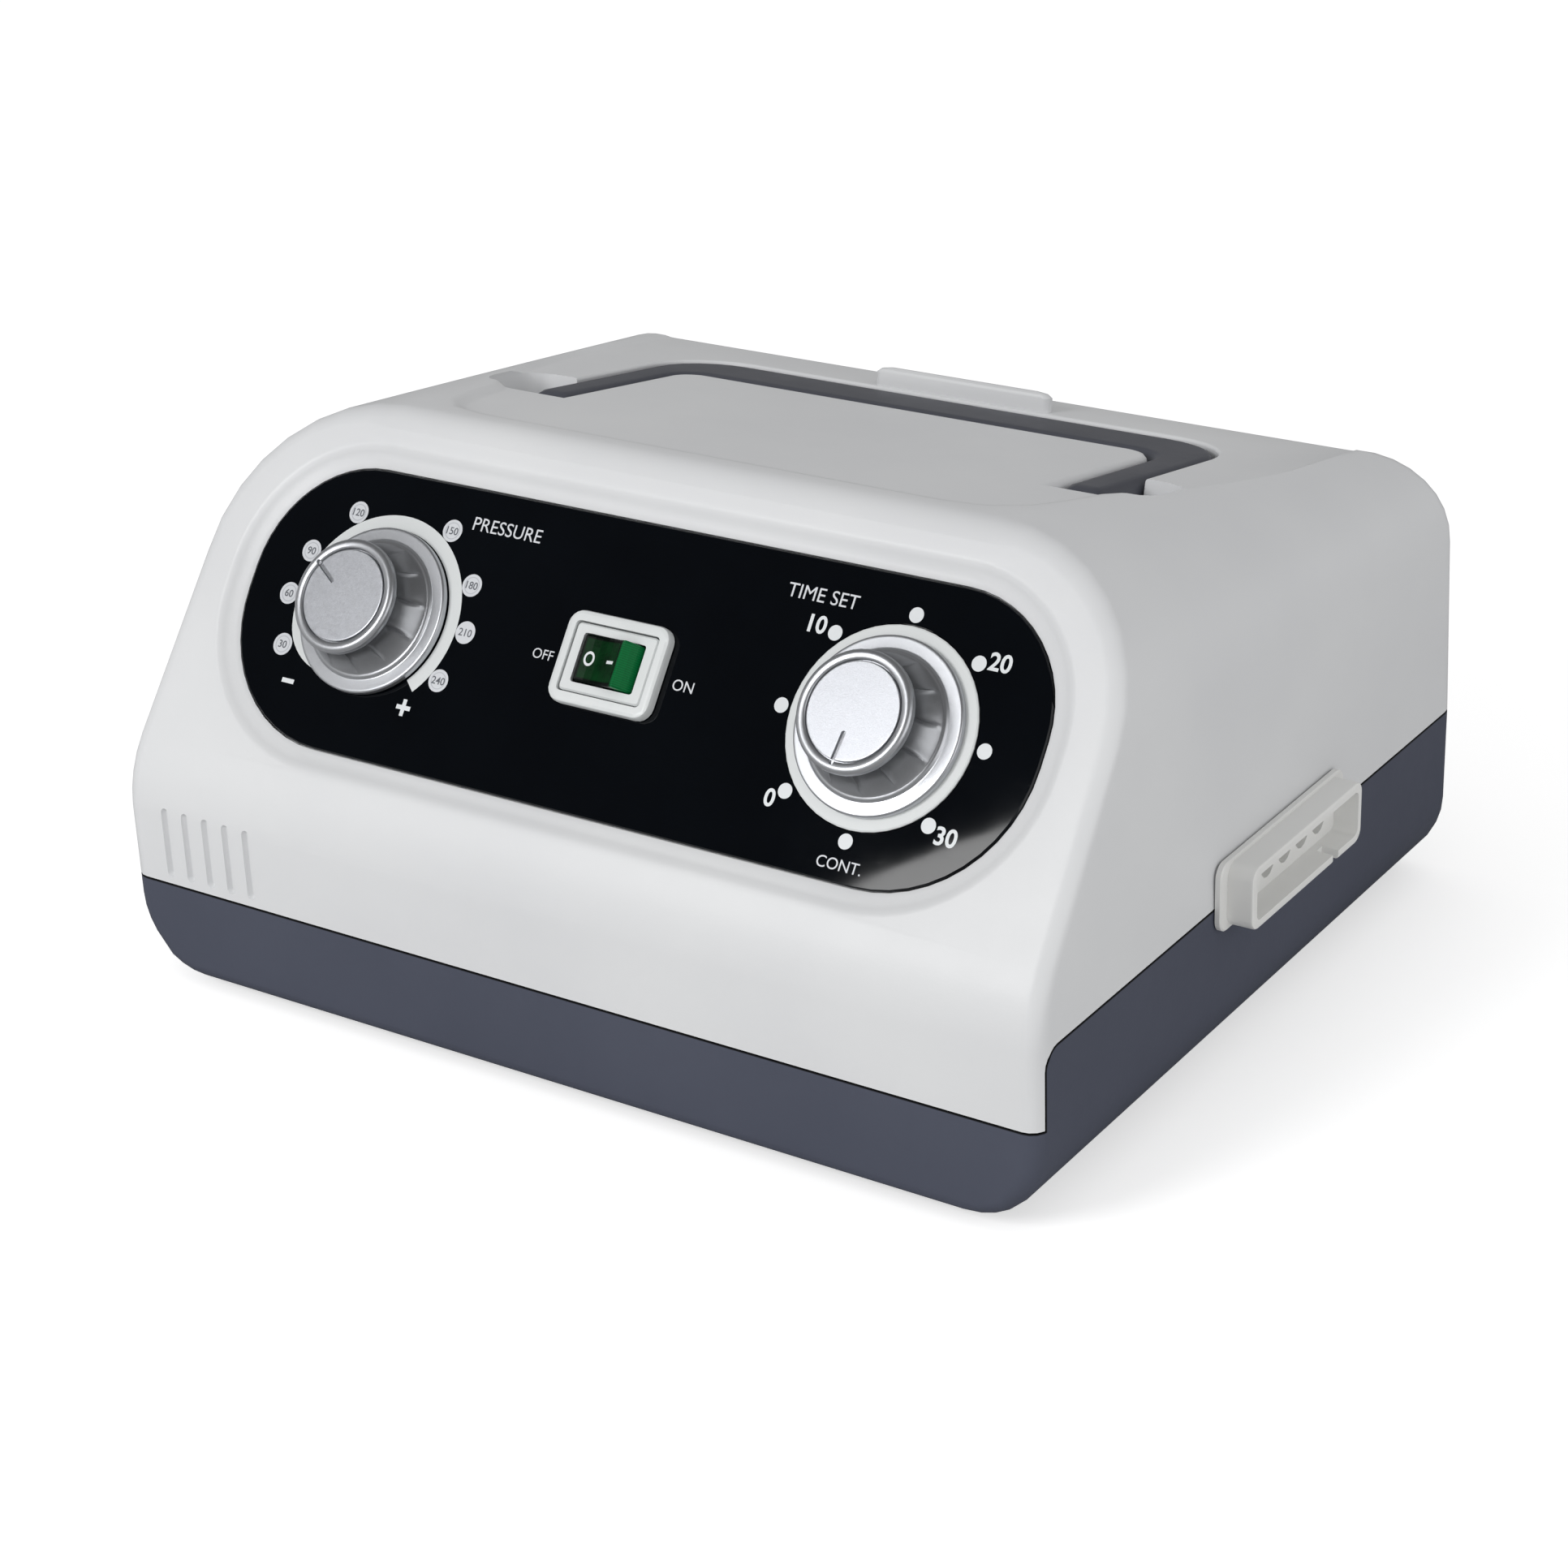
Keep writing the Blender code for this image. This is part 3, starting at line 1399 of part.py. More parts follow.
def pump_core():
    """Coil and iron core of the pump, with two raised bands of windings."""
    frame = Matrix.Translation((pump_side, pump_behind_middle, 0))
    low = plate_high + gap
    soft = core_soft
    core = block("pump_core", core_half_long, -core_half_deep, core_half_deep, core_corner,
                 ((-soft, low), (0, low + soft), (0, low + core_height - soft), (-soft, low + core_height)),
                 frame, "inner_black", root, 3)
    for label, side in (("left", -1), ("right", 1)):
        spot = frame @ Matrix.Translation((side * core_half_long * 0.5, 0, 0))
        coil = block("coil_" + label, core_half_long * 0.32, -core_half_deep - wall, core_half_deep + wall,
                     core_corner, ((0, low + core_height * 0.2), (0, low + core_height * 0.8)), spot, None, root, 3)
        join(core, coil)
    return core


def pump_head(name, side):
    """Diaphragm head at one end of the core, with a barb on its outer face."""
    start = pump_side + side * (core_half_long + gap)
    spot = placed(Vector((start, pump_behind_middle, plate_high + gap)), back * side, up)
    soft = head_soft
    head = block(name, head_half_deep, 0, head_height, head_corner,
                 ((0, 0), (0, head_length - soft), (-soft, head_length)), spot, "pump_cast", root, 4)
    barb_spot = spot @ Matrix.Translation((0, head_height * 0.7, 0))
    barb = rod(name + "_barb", barb_radius, head_length - sliver * 2, head_length + barb_length, 14,
               barb_spot, None, root)
    bore = rod(name + "_bore", barb_bore, head_length * 0.4, head_length + barb_length * 2, 10,
               barb_spot, None, root)
    return cut(join(head, barb), bore)


def head_barb_base(side):
    return Vector((pump_side + side * (core_half_long + gap + head_length), pump_behind_middle,
                   plate_high + gap + head_height * 0.7))


def supply_hose():
    start = head_barb_base(1) + across * gap
    end = Vector((block_left - gap, socket_behind_middle + inlet_spread, socket_height))
    straight = barb_length * 0.9
    return hose("supply_hose", curve_path(start, across, end, across, straight, straight, 6))


def relief_hose():
    way = -face_out
    start = face_spot(dial_spots["pressure"], 0, body_front - valve_length - gap)
    end = Vector((block_left - gap, socket_behind_middle - inlet_spread, socket_height))
    straight = barb_length * 0.9
    return hose("relief_hose", curve_path(start, way, end, across, straight, straight * 4, 10))


# Power inlet with a fuse drawer, low in the rear wall on the left.
inlet_from_side = 0.0539
inlet_side = inlet_from_side - half_width
inlet_height = 0.0235
inlet_half = 0.0155
inlet_tall = 0.0300
inlet_depth = 0.0240
inlet_neck_inset = 0.0018
plug_half = 0.0121
plug_tall = 0.0164
plug_depth = 0.0160
plug_above = 0.0055
drawer_half = 0.0100
drawer_tall = 0.0070
drawer_below = 0.0100
blade_length = 0.0110
blade_spread = 0.0070
blade_half_thick = 0.0010
blade_half_tall = 0.0020
contact_drop = 0.0015
earth_rise = 0.0035
inlet_corner = 0.0020
inlet_neck_corner = 0.0012
plug_low_corner = 0.0012
plug_high_corner = 0.0040
finger_half = 0.0030
finger_half_tall = 0.0015
finger_depth = 0.0010
rear_frame = placed(Vector((inlet_side, half_depth, inlet_height)), -across, up)


def inlet_hole():
    half = inlet_half - inlet_neck_inset + gap
    tall = inlet_tall / 2 - inlet_neck_inset + gap
    return block("inlet_hole", half, -tall, tall, inlet_neck_corner + gap, ((0, -wall - overshoot), (0, overshoot)),
                 rear_frame, None, root, 3)


def power_inlet():
    """Appliance inlet with an open plug cavity above and a fuse drawer below."""
    half = inlet_half
    tall = inlet_tall / 2
    inlet = block("power_inlet", half, -tall, tall, inlet_corner,
                  ((0, gap), (0, inlet_flange_thick * 0.7), (-small_edge, inlet_flange_thick)),
                  rear_frame, "switch_black", root, 3)
    neck = block("inlet_neck", half - inlet_neck_inset, inlet_neck_inset - tall, tall - inlet_neck_inset,
                 inlet_neck_corner, ((0, -inlet_depth), (0, inlet_flange_thick / 2)), rear_frame, None, root, 3)
    middle = plug_above
    low = middle - plug_tall / 2
    high = middle + plug_tall / 2

    def plug_outline(growth):
        return plate_outline(plug_half + growth, low - growth, high + growth,
                             plug_low_corner + growth, plug_high_corner + growth, 2)
    cavity = stack("plug_cavity", plug_outline, ((0, -plug_depth), (0, overshoot)), rear_frame, None, root)
    drawer = block("drawer_cavity", drawer_half + gap, -drawer_below - drawer_tall / 2 - gap,
                   drawer_tall / 2 - drawer_below + gap, smallest_radius * 0.6,
                   ((0, -plug_depth), (0, overshoot)), rear_frame, None, root, 2)
    join(inlet, neck)
    return cut(inlet, cavity, drawer)


def inlet_blade(name, side, above):
    """Contact blade standing in the plug cavity."""
    spot = rear_frame @ Matrix.Translation((side * blade_spread, plug_above + above, 0))
    low = -plug_depth + gap
    tip = low + blade_length
    return block(name, blade_half_thick, -blade_half_tall, blade_half_tall, fine_edge,
                 ((0, low), (0, tip - soft_edge), (-fine_edge, tip)), spot, "brass", root, 1)


def fuse_drawer():
    """Drawer with a finger notch, closed flush with the inlet."""
    drawer = block("fuse_drawer", drawer_half, -drawer_below - drawer_tall / 2, drawer_tall / 2 - drawer_below,
                   smallest_radius * 0.5,
                   ((0, gap - plug_depth), (0, inlet_flange_thick), (-fine_edge, inlet_flange_thick + gap)),
                   rear_frame, "inner_black", root, 2)
    notch = block("drawer_notch", finger_half, -drawer_below - finger_half_tall, finger_half_tall - drawer_below,
                  finger_half_tall * 0.9, ((0, inlet_flange_thick - finger_depth), (0, inlet_flange_thick + overshoot)),
                  rear_frame, None, root, 3)
    return cut(drawer, notch)


# Cooling slots in the floor below the pump.
vent_count = 7
vent_pitch = 0.0070
vent_width = 0.0026
vent_length = 0.0340


def vent_tool(index):
    side = pump_side + (index - (vent_count - 1) / 2) * vent_pitch
    frame = Matrix.Translation((side, pump_behind_middle, 0))
    half = vent_width / 2
    return block("vent_" + str(index + 1), half, -vent_length / 2, vent_length / 2, half * 0.98,
                 ((0, 0), (0, floor_height + overshoot / 2)), frame, None, root, 2)


def face_hole(name, place, radius):
    """Hole for a neck through the wall behind the panel."""
    frame = panel_frame @ Matrix.Translation((place, 0, 0))
    return rod(name, radius, -face_wall - overshoot, 0, 24, frame, None, root)


def top_shell():
    """White upper case: leaning front, valley, handle slot, screw posts and rear lip."""
    shell = case_form("top_shell", 0, 0, 0, 0, "shell_white")
    combine(shell, above_seam(), "INTERSECT")
    cut(shell, case_form("shell_inside", wall, wall, face_wall, valley_depth + wall))
    core = case_form("shell_core", wall / 2, wall / 2, wall / 2, valley_depth + wall / 2)
    tub = handle_tub()
    combine(tub, core, "INTERSECT")
    join(shell, tub)
    for side, name in ((-1, "left"), (1, "right")):
        wrap = pocket_scoop("pocket_wrap_" + name, side, wall * 0.8, -pocket_sink - wall, False)
        combine(wrap, core, "INTERSECT")
        join(shell, wrap)
    bores = []
    for name in corners:
        post, bore = shell_posts(name, core)
        join(shell, post)
        bores.append(bore)
    cut(shell, valley_tool(), handle_slot())
    for side, name in ((-1, "left"), (1, "right")):
        cut(shell, pocket_scoop("pocket_" + name, side, 0, -pocket_sink, True))
    cut(shell, panel_seat(), *bores, *pin_hole())
    for name, place in dial_spots.items():
        cut(shell, face_hole(name + "_shell_hole", place, neck_radius + gap))
    cut(shell, switch_hole("shell_switch_hole", 0, -face_wall - overshoot))
    for index in range(groove_count):
        cut(shell, groove_tool("groove_" + str(index + 1), groove_first + groove_pitch * index))
    cut(shell, socket_hole("shell_socket_hole"))
    return join(shell, rear_lip())


def base_cavity():
    """Inside of the base tray, with a thicker front behind the apron skirt."""
    low = max(bottom_corner - wall, smallest_radius)
    half = half_width - wall
    outline = plate_outline(half, floor_height, crest.z * 2, low, smallest_radius, 6)
    front = -half_depth + skirt + gap + wall
    rear = half_depth - wall
    rings = [[Vector((side, depth, height)) for side, height in outline] for depth in (front, rear)]
    return loft("base_cavity", rings, None, root)


def base_shell():
    """Slate tray: floor with feet seats, screw columns, vents and the rear inlet."""
    base = case_form("base_shell", 0, 0, 0, 0, "base_slate")
    combine(base, below_seam(), "INTERSECT")
    cut(base, base_cavity())
    seat = foot_height + screw_recess
    for name, (side, depth) in corners.items():
        frame = Matrix.Translation((side, depth, 0))
        join(base, rod("column_" + name, column_radius, floor_height - wall / 2, column_top, 20, frame, None, root))
        recess = screw_head_radius + 2 * gap
        bore = screw_radius + gap
        profile = ((0, -overshoot), (recess, -overshoot), (recess, seat), (bore, seat),
                   (bore, column_top + overshoot), (0, column_top + overshoot))
        cut(base, turned("column_bore_" + name, profile, 16, frame, None, root))
    for name, (side, depth) in foot_spots.items():
        cut(base, rod("foot_seat_" + name, foot_radius + gap, -overshoot, foot_height + foot_sink, 20,
                      Matrix.Translation((side, depth, 0)), None, root))
    for index in range(vent_count):
        cut(base, vent_tool(index))
    return cut(base, inlet_hole(), socket_hole("base_socket_hole"))


def build():
    top_shell()
    base_shell()
    control_panel()
    switch_trim()
    switch_bezel()
    switch_body()
    switch_rocker()
    for name, side in (("switch_terminal_left", -1), ("switch_terminal_right", 1)):
        switch_terminal(name, side)
    dial_ring()
    for name in dial_spots:
        turning = empty(name + "_axis", root, dial_frame(name))
        dial_knob(name, turning)
        knob_cap(name, turning)
        dial_shaft(name, turning)
        dial_nut(name)
    pressure_valve()
    timer_body()
    carry_handle()
    handle_pin("handle_pin_left", -1)
    handle_pin("handle_pin_right", 1)
    outlet_socket()
    distributor_block()
    distributor_motor()
    for index in range(port_count):
        outlet_hose(index)
    pump_plate()
    pump_core()
    pump_head("pump_head_left", -1)
    pump_head("pump_head_right", 1)
    supply_hose()
    relief_hose()
    for name in mount_spots:
        pump_mount(name)
    power_inlet()
    inlet_blade("inlet_blade_left", -1, -contact_drop)
    inlet_blade("inlet_blade_right", 1, -contact_drop)
    inlet_blade("inlet_blade_earth", 0, earth_rise)
    fuse_drawer()
    for name in corners:
        case_screw(name)
        rubber_foot(name)


build()
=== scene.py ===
import json
import math

import bmesh
import bpy
from mathutils import Matrix, Vector
from mathutils.bvhtree import BVHTree


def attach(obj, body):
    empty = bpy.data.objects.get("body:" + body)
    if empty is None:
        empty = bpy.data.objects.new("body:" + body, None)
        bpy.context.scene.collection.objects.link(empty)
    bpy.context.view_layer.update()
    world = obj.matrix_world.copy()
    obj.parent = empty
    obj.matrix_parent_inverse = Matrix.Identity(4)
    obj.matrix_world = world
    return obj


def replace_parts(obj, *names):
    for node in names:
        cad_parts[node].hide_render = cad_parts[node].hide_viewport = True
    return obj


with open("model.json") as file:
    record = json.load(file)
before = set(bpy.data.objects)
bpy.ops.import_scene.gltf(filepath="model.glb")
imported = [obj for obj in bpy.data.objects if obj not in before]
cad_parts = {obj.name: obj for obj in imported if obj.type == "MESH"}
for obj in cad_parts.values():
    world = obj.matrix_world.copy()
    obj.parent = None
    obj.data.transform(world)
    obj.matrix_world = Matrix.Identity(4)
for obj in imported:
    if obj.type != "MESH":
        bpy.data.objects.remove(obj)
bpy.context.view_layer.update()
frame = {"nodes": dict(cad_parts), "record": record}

nodes = frame["nodes"]
scene = bpy.context.scene
slotOf = {part["node"]: part["material_slot"] for part in frame["record"]["subparts"]}
bodyOf = {member: body for body, members in frame["record"]["behaviour"]["bodies"].items()
          for member in members}


def mm(*values):
    return tuple(value / 1000 for value in values)


# A colour as it is seen, from 0 to 255, made into the linear one that Blender takes.
def shade(red, green, blue):
    parts = []
    for value in (red, green, blue):
        share = value / 255
        parts.append(share / 12.92 if share <= 0.04045 else ((share + 0.055) / 1.055) ** 2.4)
    return (*parts, 1)


# The panel's face on the housing, in metres and degrees, and where the dials sit on it and point at rest.
places = {
    "panelMiddle": (-0.0038, -0.0690467, 0.0889836),
    "panelLean": 36.6,
    "pressureAt": -0.0655,
    "timerAt": 0.0655,
    "pressurePointer": 147,
    "timerPointer": 264,
}
lean = math.radians(places["panelLean"])
panelUp = Vector((0, math.sin(lean), math.cos(lean)))
panelOut = Vector((0, -math.cos(lean), math.sin(lean)))


def onPanel(across=0, along=0):
    spot = Vector(places["panelMiddle"]) + Vector((across, 0, 0)) + panelUp * along
    turn = Matrix((Vector((1, 0, 0)), panelUp, panelOut)).transposed().to_4x4()
    return Matrix.Translation(spot) @ turn


# Small helpers for node trees, of materials and of geometry.
def newTree(name, family, inputs, outputs):
    tree = bpy.data.node_groups.new(name, family)
    for label, kind, value in inputs:
        socket = tree.interface.new_socket(label, in_out="INPUT", socket_type="NodeSocket" + kind)
        if value is not None:
            socket.default_value = value
    for label, kind in outputs:
        tree.interface.new_socket(label, in_out="OUTPUT", socket_type="NodeSocket" + kind)
    return tree, tree.nodes.new("NodeGroupInput"), tree.nodes.new("NodeGroupOutput")


def feed(tree, socket, source):
    if isinstance(source, bpy.types.NodeSocket):
        tree.links.new(source, socket)
    else:
        socket.default_value = source


def add(tree, kind, links=(), **settings):
    node = tree.nodes.new(kind)
    for key, value in settings.items():
        setattr(node, key, value)
    for socket, source in links:
        feed(tree, node.inputs[socket], source)
    return node


def mathNode(tree, operation, *values, clamp=False):
    node = add(tree, "ShaderNodeMath", enumerate(values), operation=operation, use_clamp=clamp)
    return node.outputs[0]


def plus(tree, first, second, clamp=False):
    return mathNode(tree, "ADD", first, second, clamp=clamp)


def minus(tree, first, second, clamp=False):
    return mathNode(tree, "SUBTRACT", first, second, clamp=clamp)


def times(tree, first, second, clamp=False):
    return mathNode(tree, "MULTIPLY", first, second, clamp=clamp)


def objectPlace(tree):
    return tree.nodes.new("ShaderNodeTexCoord").outputs["Object"]


def noiseNode(tree, place, scale, detail, rough):
    noise = add(tree, "ShaderNodeTexNoise",
                [("Vector", place), ("Scale", scale), ("Detail", detail), ("Roughness", rough)])
    return noise.outputs["Fac"]


def rampNode(tree, value, low, high, start=0.0, end=1.0, **settings):
    ramp = add(tree, "ShaderNodeMapRange",
               [("Value", value), ("From Min", low), ("From Max", high), ("To Min", start), ("To Max", end)],
               **settings)
    return ramp.outputs["Result"]


def alongNode(tree, place, way):
    dot = add(tree, "ShaderNodeVectorMath", [(0, place), (1, way)], operation="DOT_PRODUCT")
    return dot.outputs["Value"]


# How far a point lies from the panel's middle, measured along one of the panel's own directions.
def panelLevel(tree, place, way):
    return minus(tree, alongNode(tree, place, way), Vector(places["panelMiddle"]).dot(way))


noiseSpan = (0.3, 0.7)  # nearly all of a noise's values lie in here


def between(tree, noise, low, high):
    return rampNode(tree, noise, *noiseSpan, low, high)


def mixColour(tree, factor, first, second):
    return add(tree, "ShaderNodeMix", [(0, factor), (6, first), (7, second)], data_type="RGBA").outputs[2]


# Moulded grain: fine noise and small cells give the height, two slow noises the drift of tone and gloss.
grainEffect = {"fine": 0.6, "cells": 0.4, "cellScale": 0.7, "smudgeScale": 6}


def mouldedGrain():
    g = grainEffect
    tree, given, out = newTree(
        "mouldedGrain", "ShaderNodeTree",
        [("Grain Scale", "Float", 1500), ("Drift Scale", "Float", 14)],
        [("Height", "Float"), ("Drift", "Float"), ("Gloss", "Float")],
    )
    grain, slow = given.outputs["Grain Scale"], given.outputs["Drift Scale"]
    place = objectPlace(tree)
    fine = noiseNode(tree, place, grain, detail=2, rough=0.6)
    cellScale = times(tree, grain, g["cellScale"])
    cells = add(tree, "ShaderNodeTexVoronoi", [("Vector", place), ("Scale", cellScale)]).outputs["Distance"]
    height = plus(tree, times(tree, fine, g["fine"]), times(tree, cells, g["cells"]))
    drift = noiseNode(tree, place, slow, detail=4, rough=0.5)
    smudge = noiseNode(tree, place, times(tree, slow, g["smudgeScale"]), detail=3, rough=0.6)
    feed(tree, out.inputs["Height"], height)
    feed(tree, out.inputs["Drift"], drift)
    feed(tree, out.inputs["Gloss"], times(tree, plus(tree, drift, smudge), 0.5))
    return tree


# Satin metal: a fine fleck over a broader one.
speckleEffect = {"fine": 0.7, "broad": 0.3, "broadScale": 0.3}


def satinSpeckle():
    g = speckleEffect
    tree, given, out = newTree(
        "satinSpeckle", "ShaderNodeTree", [("Fleck Scale", "Float", 5200)],
        [("Height", "Float"), ("Fleck", "Float"), ("Gloss", "Float")],
    )
    place, fleck = objectPlace(tree), given.outputs["Fleck Scale"]
    fine = noiseNode(tree, place, fleck, detail=2, rough=0.7)
    broad = noiseNode(tree, place, times(tree, fleck, g["broadScale"]), detail=2, rough=0.5)
    feed(tree, out.inputs["Height"], fine)
    feed(tree, out.inputs["Fleck"], plus(tree, times(tree, fine, g["fine"]), times(tree, broad, g["broad"])))
    feed(tree, out.inputs["Gloss"], broad)
    return tree


# Hairline scratches: the sharpened peaks of a noise stretched along one direction, and a slow film.
scratchEffect = {"turn": (0.2, 0.5, 0.9), "stretch": (1, 14, 1), "peak": 0.62, "sharpen": 6, "filmScale": 35}


def fineScratches():
    g = scratchEffect
    tree, given, out = newTree(
        "fineScratches", "ShaderNodeTree",
        [("Scratch Scale", "Float", 90), ("Amount", "Float", 0.5)],
        [("Scratch", "Float"), ("Film", "Float")],
    )
    place = objectPlace(tree)
    stretched = add(tree, "ShaderNodeMapping",
                    [("Vector", place), ("Rotation", g["turn"]), ("Scale", g["stretch"])]).outputs["Vector"]
    lines = noiseNode(tree, stretched, given.outputs["Scratch Scale"], detail=5, rough=0.7)
    sharp = times(tree, minus(tree, lines, g["peak"], clamp=True), g["sharpen"], clamp=True)
    feed(tree, out.inputs["Scratch"], times(tree, sharp, given.outputs["Amount"]))
    feed(tree, out.inputs["Film"], noiseNode(tree, place, g["filmScale"], detail=4, rough=0.6))
    return tree


effects = {"grain": mouldedGrain(), "speckle": satinSpeckle(), "scratch": fineScratches()}


def useEffect(tree, key, **values):
    return add(tree, "ShaderNodeGroup", values.items(), node_tree=effects[key]).outputs


def startMaterial(name):
    material = bpy.data.materials.new(name)
    material.use_nodes = True
    tree = material.node_tree
    tree.nodes.clear()
    shader = tree.nodes.new("ShaderNodeBsdfPrincipled")
    out = tree.nodes.new("ShaderNodeOutputMaterial")
    tree.links.new(shader.outputs[0], out.inputs["Surface"])
    return material, tree, shader.inputs


def addBump(tree, surface, height, distance):
    bump = add(tree, "ShaderNodeBump", [("Height", height), ("Distance", distance), ("Strength", 1.0)])
    feed(tree, surface["Normal"], bump.outputs["Normal"])


# Moulded plastics: two tones that drift into each other, roughness low and high, grain scale, depth of
# the grain in thousandths of a mm, gloss.
plastics = {
    "shell_white": ((213, 214, 216), (220, 221, 222), (0.36, 0.46), 1900, 12, 0.5),
    "base_slate": ((72, 76, 90), (78, 82, 96), (0.46, 0.58), 1700, 22, 0.3),
    "handle_slate": ((74, 76, 84), (82, 84, 92), (0.42, 0.52), 1900, 20, 0.35),
    "trim_white": ((213, 216, 216), (221, 224, 224), (0.26, 0.36), 2600, 6, 0.5),
    "switch_black": ((12, 13, 15), (20, 21, 24), (0.34, 0.46), 2600, 10, 0.5),
    "socket_grey": ((222, 222, 220), (230, 230, 228), (0.34, 0.46), 2200, 12, 0.5),
    "foot_rubber": ((28, 29, 31), (38, 39, 42), (0.74, 0.88), 1400, 40, 0.5),
    "inner_black": ((32, 33, 36), (42, 43, 47), (0.5, 0.65), 1500, 30, 0.5),
    # near-black finish of the strip that paints the shadow line in the seam
    "shadow_strip_black": ((3, 3, 5), (7, 7, 9), (0.8, 0.9), 1400, 20, 0.1),
    "hose_clear": ((205, 210, 207), (217, 221, 218), (0.22, 0.34), 900, 10, 0.5),
}
# Printing ink: two tones for each, and one surface for all, a hair thick and slightly uneven.
inks = {
    "inkWhite": ((216, 219, 221), (226, 229, 231)),
    "inkGrey": ((176, 179, 184), (190, 193, 198)),
    "inkPale": ((205, 207, 211), (214, 216, 220)),
    "inkDark": ((86, 89, 96), (98, 101, 108)),
}
inkSurface = ((0.3, 0.42), 3000, 4, 0.5)


def plasticMaterial(name, first, second, rough, grain, depth, gloss):
    material, tree, surface = startMaterial(name)
    effect = useEffect(tree, "grain", **{"Grain Scale": grain})
    tone = mixColour(tree, between(tree, effect["Drift"], 0, 1), shade(*first), shade(*second))
    feed(tree, surface["Base Color"], tone)
    feed(tree, surface["Roughness"], between(tree, effect["Gloss"], *rough))
    surface["Specular IOR Level"].default_value = gloss
    addBump(tree, surface, effect["Height"], depth / 1e6)
    return material


# Metals: base tone, fleck tone, roughness low and high, fleck scale, depth of the blasted grain in
# thousandths of a mm, metallic share.
metals = {
    "knob_satin": ((190, 192, 196), (201, 203, 207), (0.32, 0.38), 9000, 3, 0.9),
    "cap_satin": ((176, 178, 183), (200, 202, 207), (0.34, 0.42), 4200, 20, 0.9),
    "steel": ((160, 162, 165), (182, 184, 187), (0.22, 0.36), 3000, 5, 0.9),
    "brass": ((180, 150, 82), (204, 176, 104), (0.26, 0.4), 3000, 6, 0.9),
    "pump_cast": ((138, 141, 146), (160, 163, 168), (0.42, 0.58), 1600, 40, 0.6),
}


def metalMaterial(name, first, second, rough, fleck, depth, metallic):
    material, tree, surface = startMaterial(name)
    effect = useEffect(tree, "speckle", **{"Fleck Scale": fleck})
    tone = mixColour(tree, between(tree, effect["Fleck"], 0, 1), shade(*first), shade(*second))
    feed(tree, surface["Base Color"], tone)
    feed(tree, surface["Roughness"], between(tree, effect["Gloss"], *rough))
    surface["Metallic"].default_value = metallic
    addBump(tree, surface, effect["Height"], depth / 1e6)
    return material


# Gloss overlay of the panel: near-black film with hairline scratches and a faint haze, barely wavy.
panelGloss = {
    "dark": (1, 3, 7), "light": (3, 6, 11), "rough": (0.015, 0.04), "specular": 0.32,
    "scratch": 0.25, "scratchRough": 0.2, "wave": 0.00005, "waveScale": 38,
}


def panelMaterial():
    g = panelGloss
    material, tree, surface = startMaterial("panel_black")
    effect = useEffect(tree, "scratch", Amount=g["scratch"])
    tone = mixColour(tree, between(tree, effect["Film"], 0, 1), shade(*g["dark"]), shade(*g["light"]))
    feed(tree, surface["Base Color"], tone)
    haze = between(tree, effect["Film"], *g["rough"])
    feed(tree, surface["Roughness"], plus(tree, haze, times(tree, effect["Scratch"], g["scratchRough"])))
    surface["Specular IOR Level"].default_value = g["specular"]
    wave = noiseNode(tree, objectPlace(tree), g["waveScale"], detail=1, rough=0.4)
    addBump(tree, surface, wave, g["wave"])
    return material


# Green translucent rocker with light and shade painted into its colour: painted shade makes it near black
# where it is pressed in and along the crease in its middle, painted light makes its finely ribbed raised end
# brighter.
# Lengths in metres.
rockerFinishAndPaintedLight = {
    "dark": (0, 7, 3), "deep": (0, 52, 18), "bright": (0, 108, 54), "rough": (0.24, 0.34), "specular": 0.12,
    "grain": 900, "drift": 260, "uneven": 0.3, "depth": 0.000012,
    "paintedSunkShade": (-0.0111, -0.0107), "side": (0.0042, 0.0045),
    "ridge": -0.0011, "edge": 0.0006, "paintedCreaseShade": 0.00013, "glow": 0.84, "ribs": 0.26, "pitch": 0.00048,
}


def rockerMaterial():
    g = rockerFinishAndPaintedLight
    material, tree, surface = startMaterial("rocker_green")
    effect = useEffect(tree, "grain", **{"Grain Scale": g["grain"], "Drift Scale": g["drift"]})
    place = objectPlace(tree)
    across = add(tree, "ShaderNodeSeparateXYZ", [(0, place)]).outputs["X"]
    level = panelLevel(tree, place, panelUp)
    wave = mathNode(tree, "SINE", times(tree, level, 2 * math.pi / g["pitch"]))
    raised = rampNode(tree, across, g["ridge"], g["ridge"] + g["edge"])
    ribs = times(tree, times(tree, wave, raised), g["ribs"])
    # Painted shade: near-black borders at the pressed-in end and along its top and bottom edges.
    inner = rampNode(tree, mathNode(tree, "ABSOLUTE", level), *g["side"], 1, 0)
    paintedSunkShade = times(tree, rampNode(tree, across, *g["paintedSunkShade"]), inner)
    # Painted shade: a thin near-black line along the crease.
    paintedCreaseShade = mathNode(tree, "COMPARE", across, g["ridge"] - g["paintedCreaseShade"], g["paintedCreaseShade"])
    deep = mixColour(tree, times(tree, paintedSunkShade, between(tree, effect["Drift"], g["uneven"], 1)),
                     shade(*g["dark"]), shade(*g["deep"]))
    # Painted light: the raised end is mixed towards bright green, and its ribs are painted as lighter and
    # darker stripes besides their bump.
    lit = plus(tree, times(tree, raised, g["glow"]), ribs, clamp=True)
    tone = mixColour(tree, lit, deep, shade(*g["bright"]))
    feed(tree, surface["Base Color"], mixColour(tree, paintedCreaseShade, tone, shade(*g["dark"])))
    feed(tree, surface["Roughness"], between(tree, effect["Gloss"], *g["rough"]))
    surface["Specular IOR Level"].default_value = g["specular"]
    addBump(tree, surface, plus(tree, effect["Height"], ribs), g["depth"])
    return material


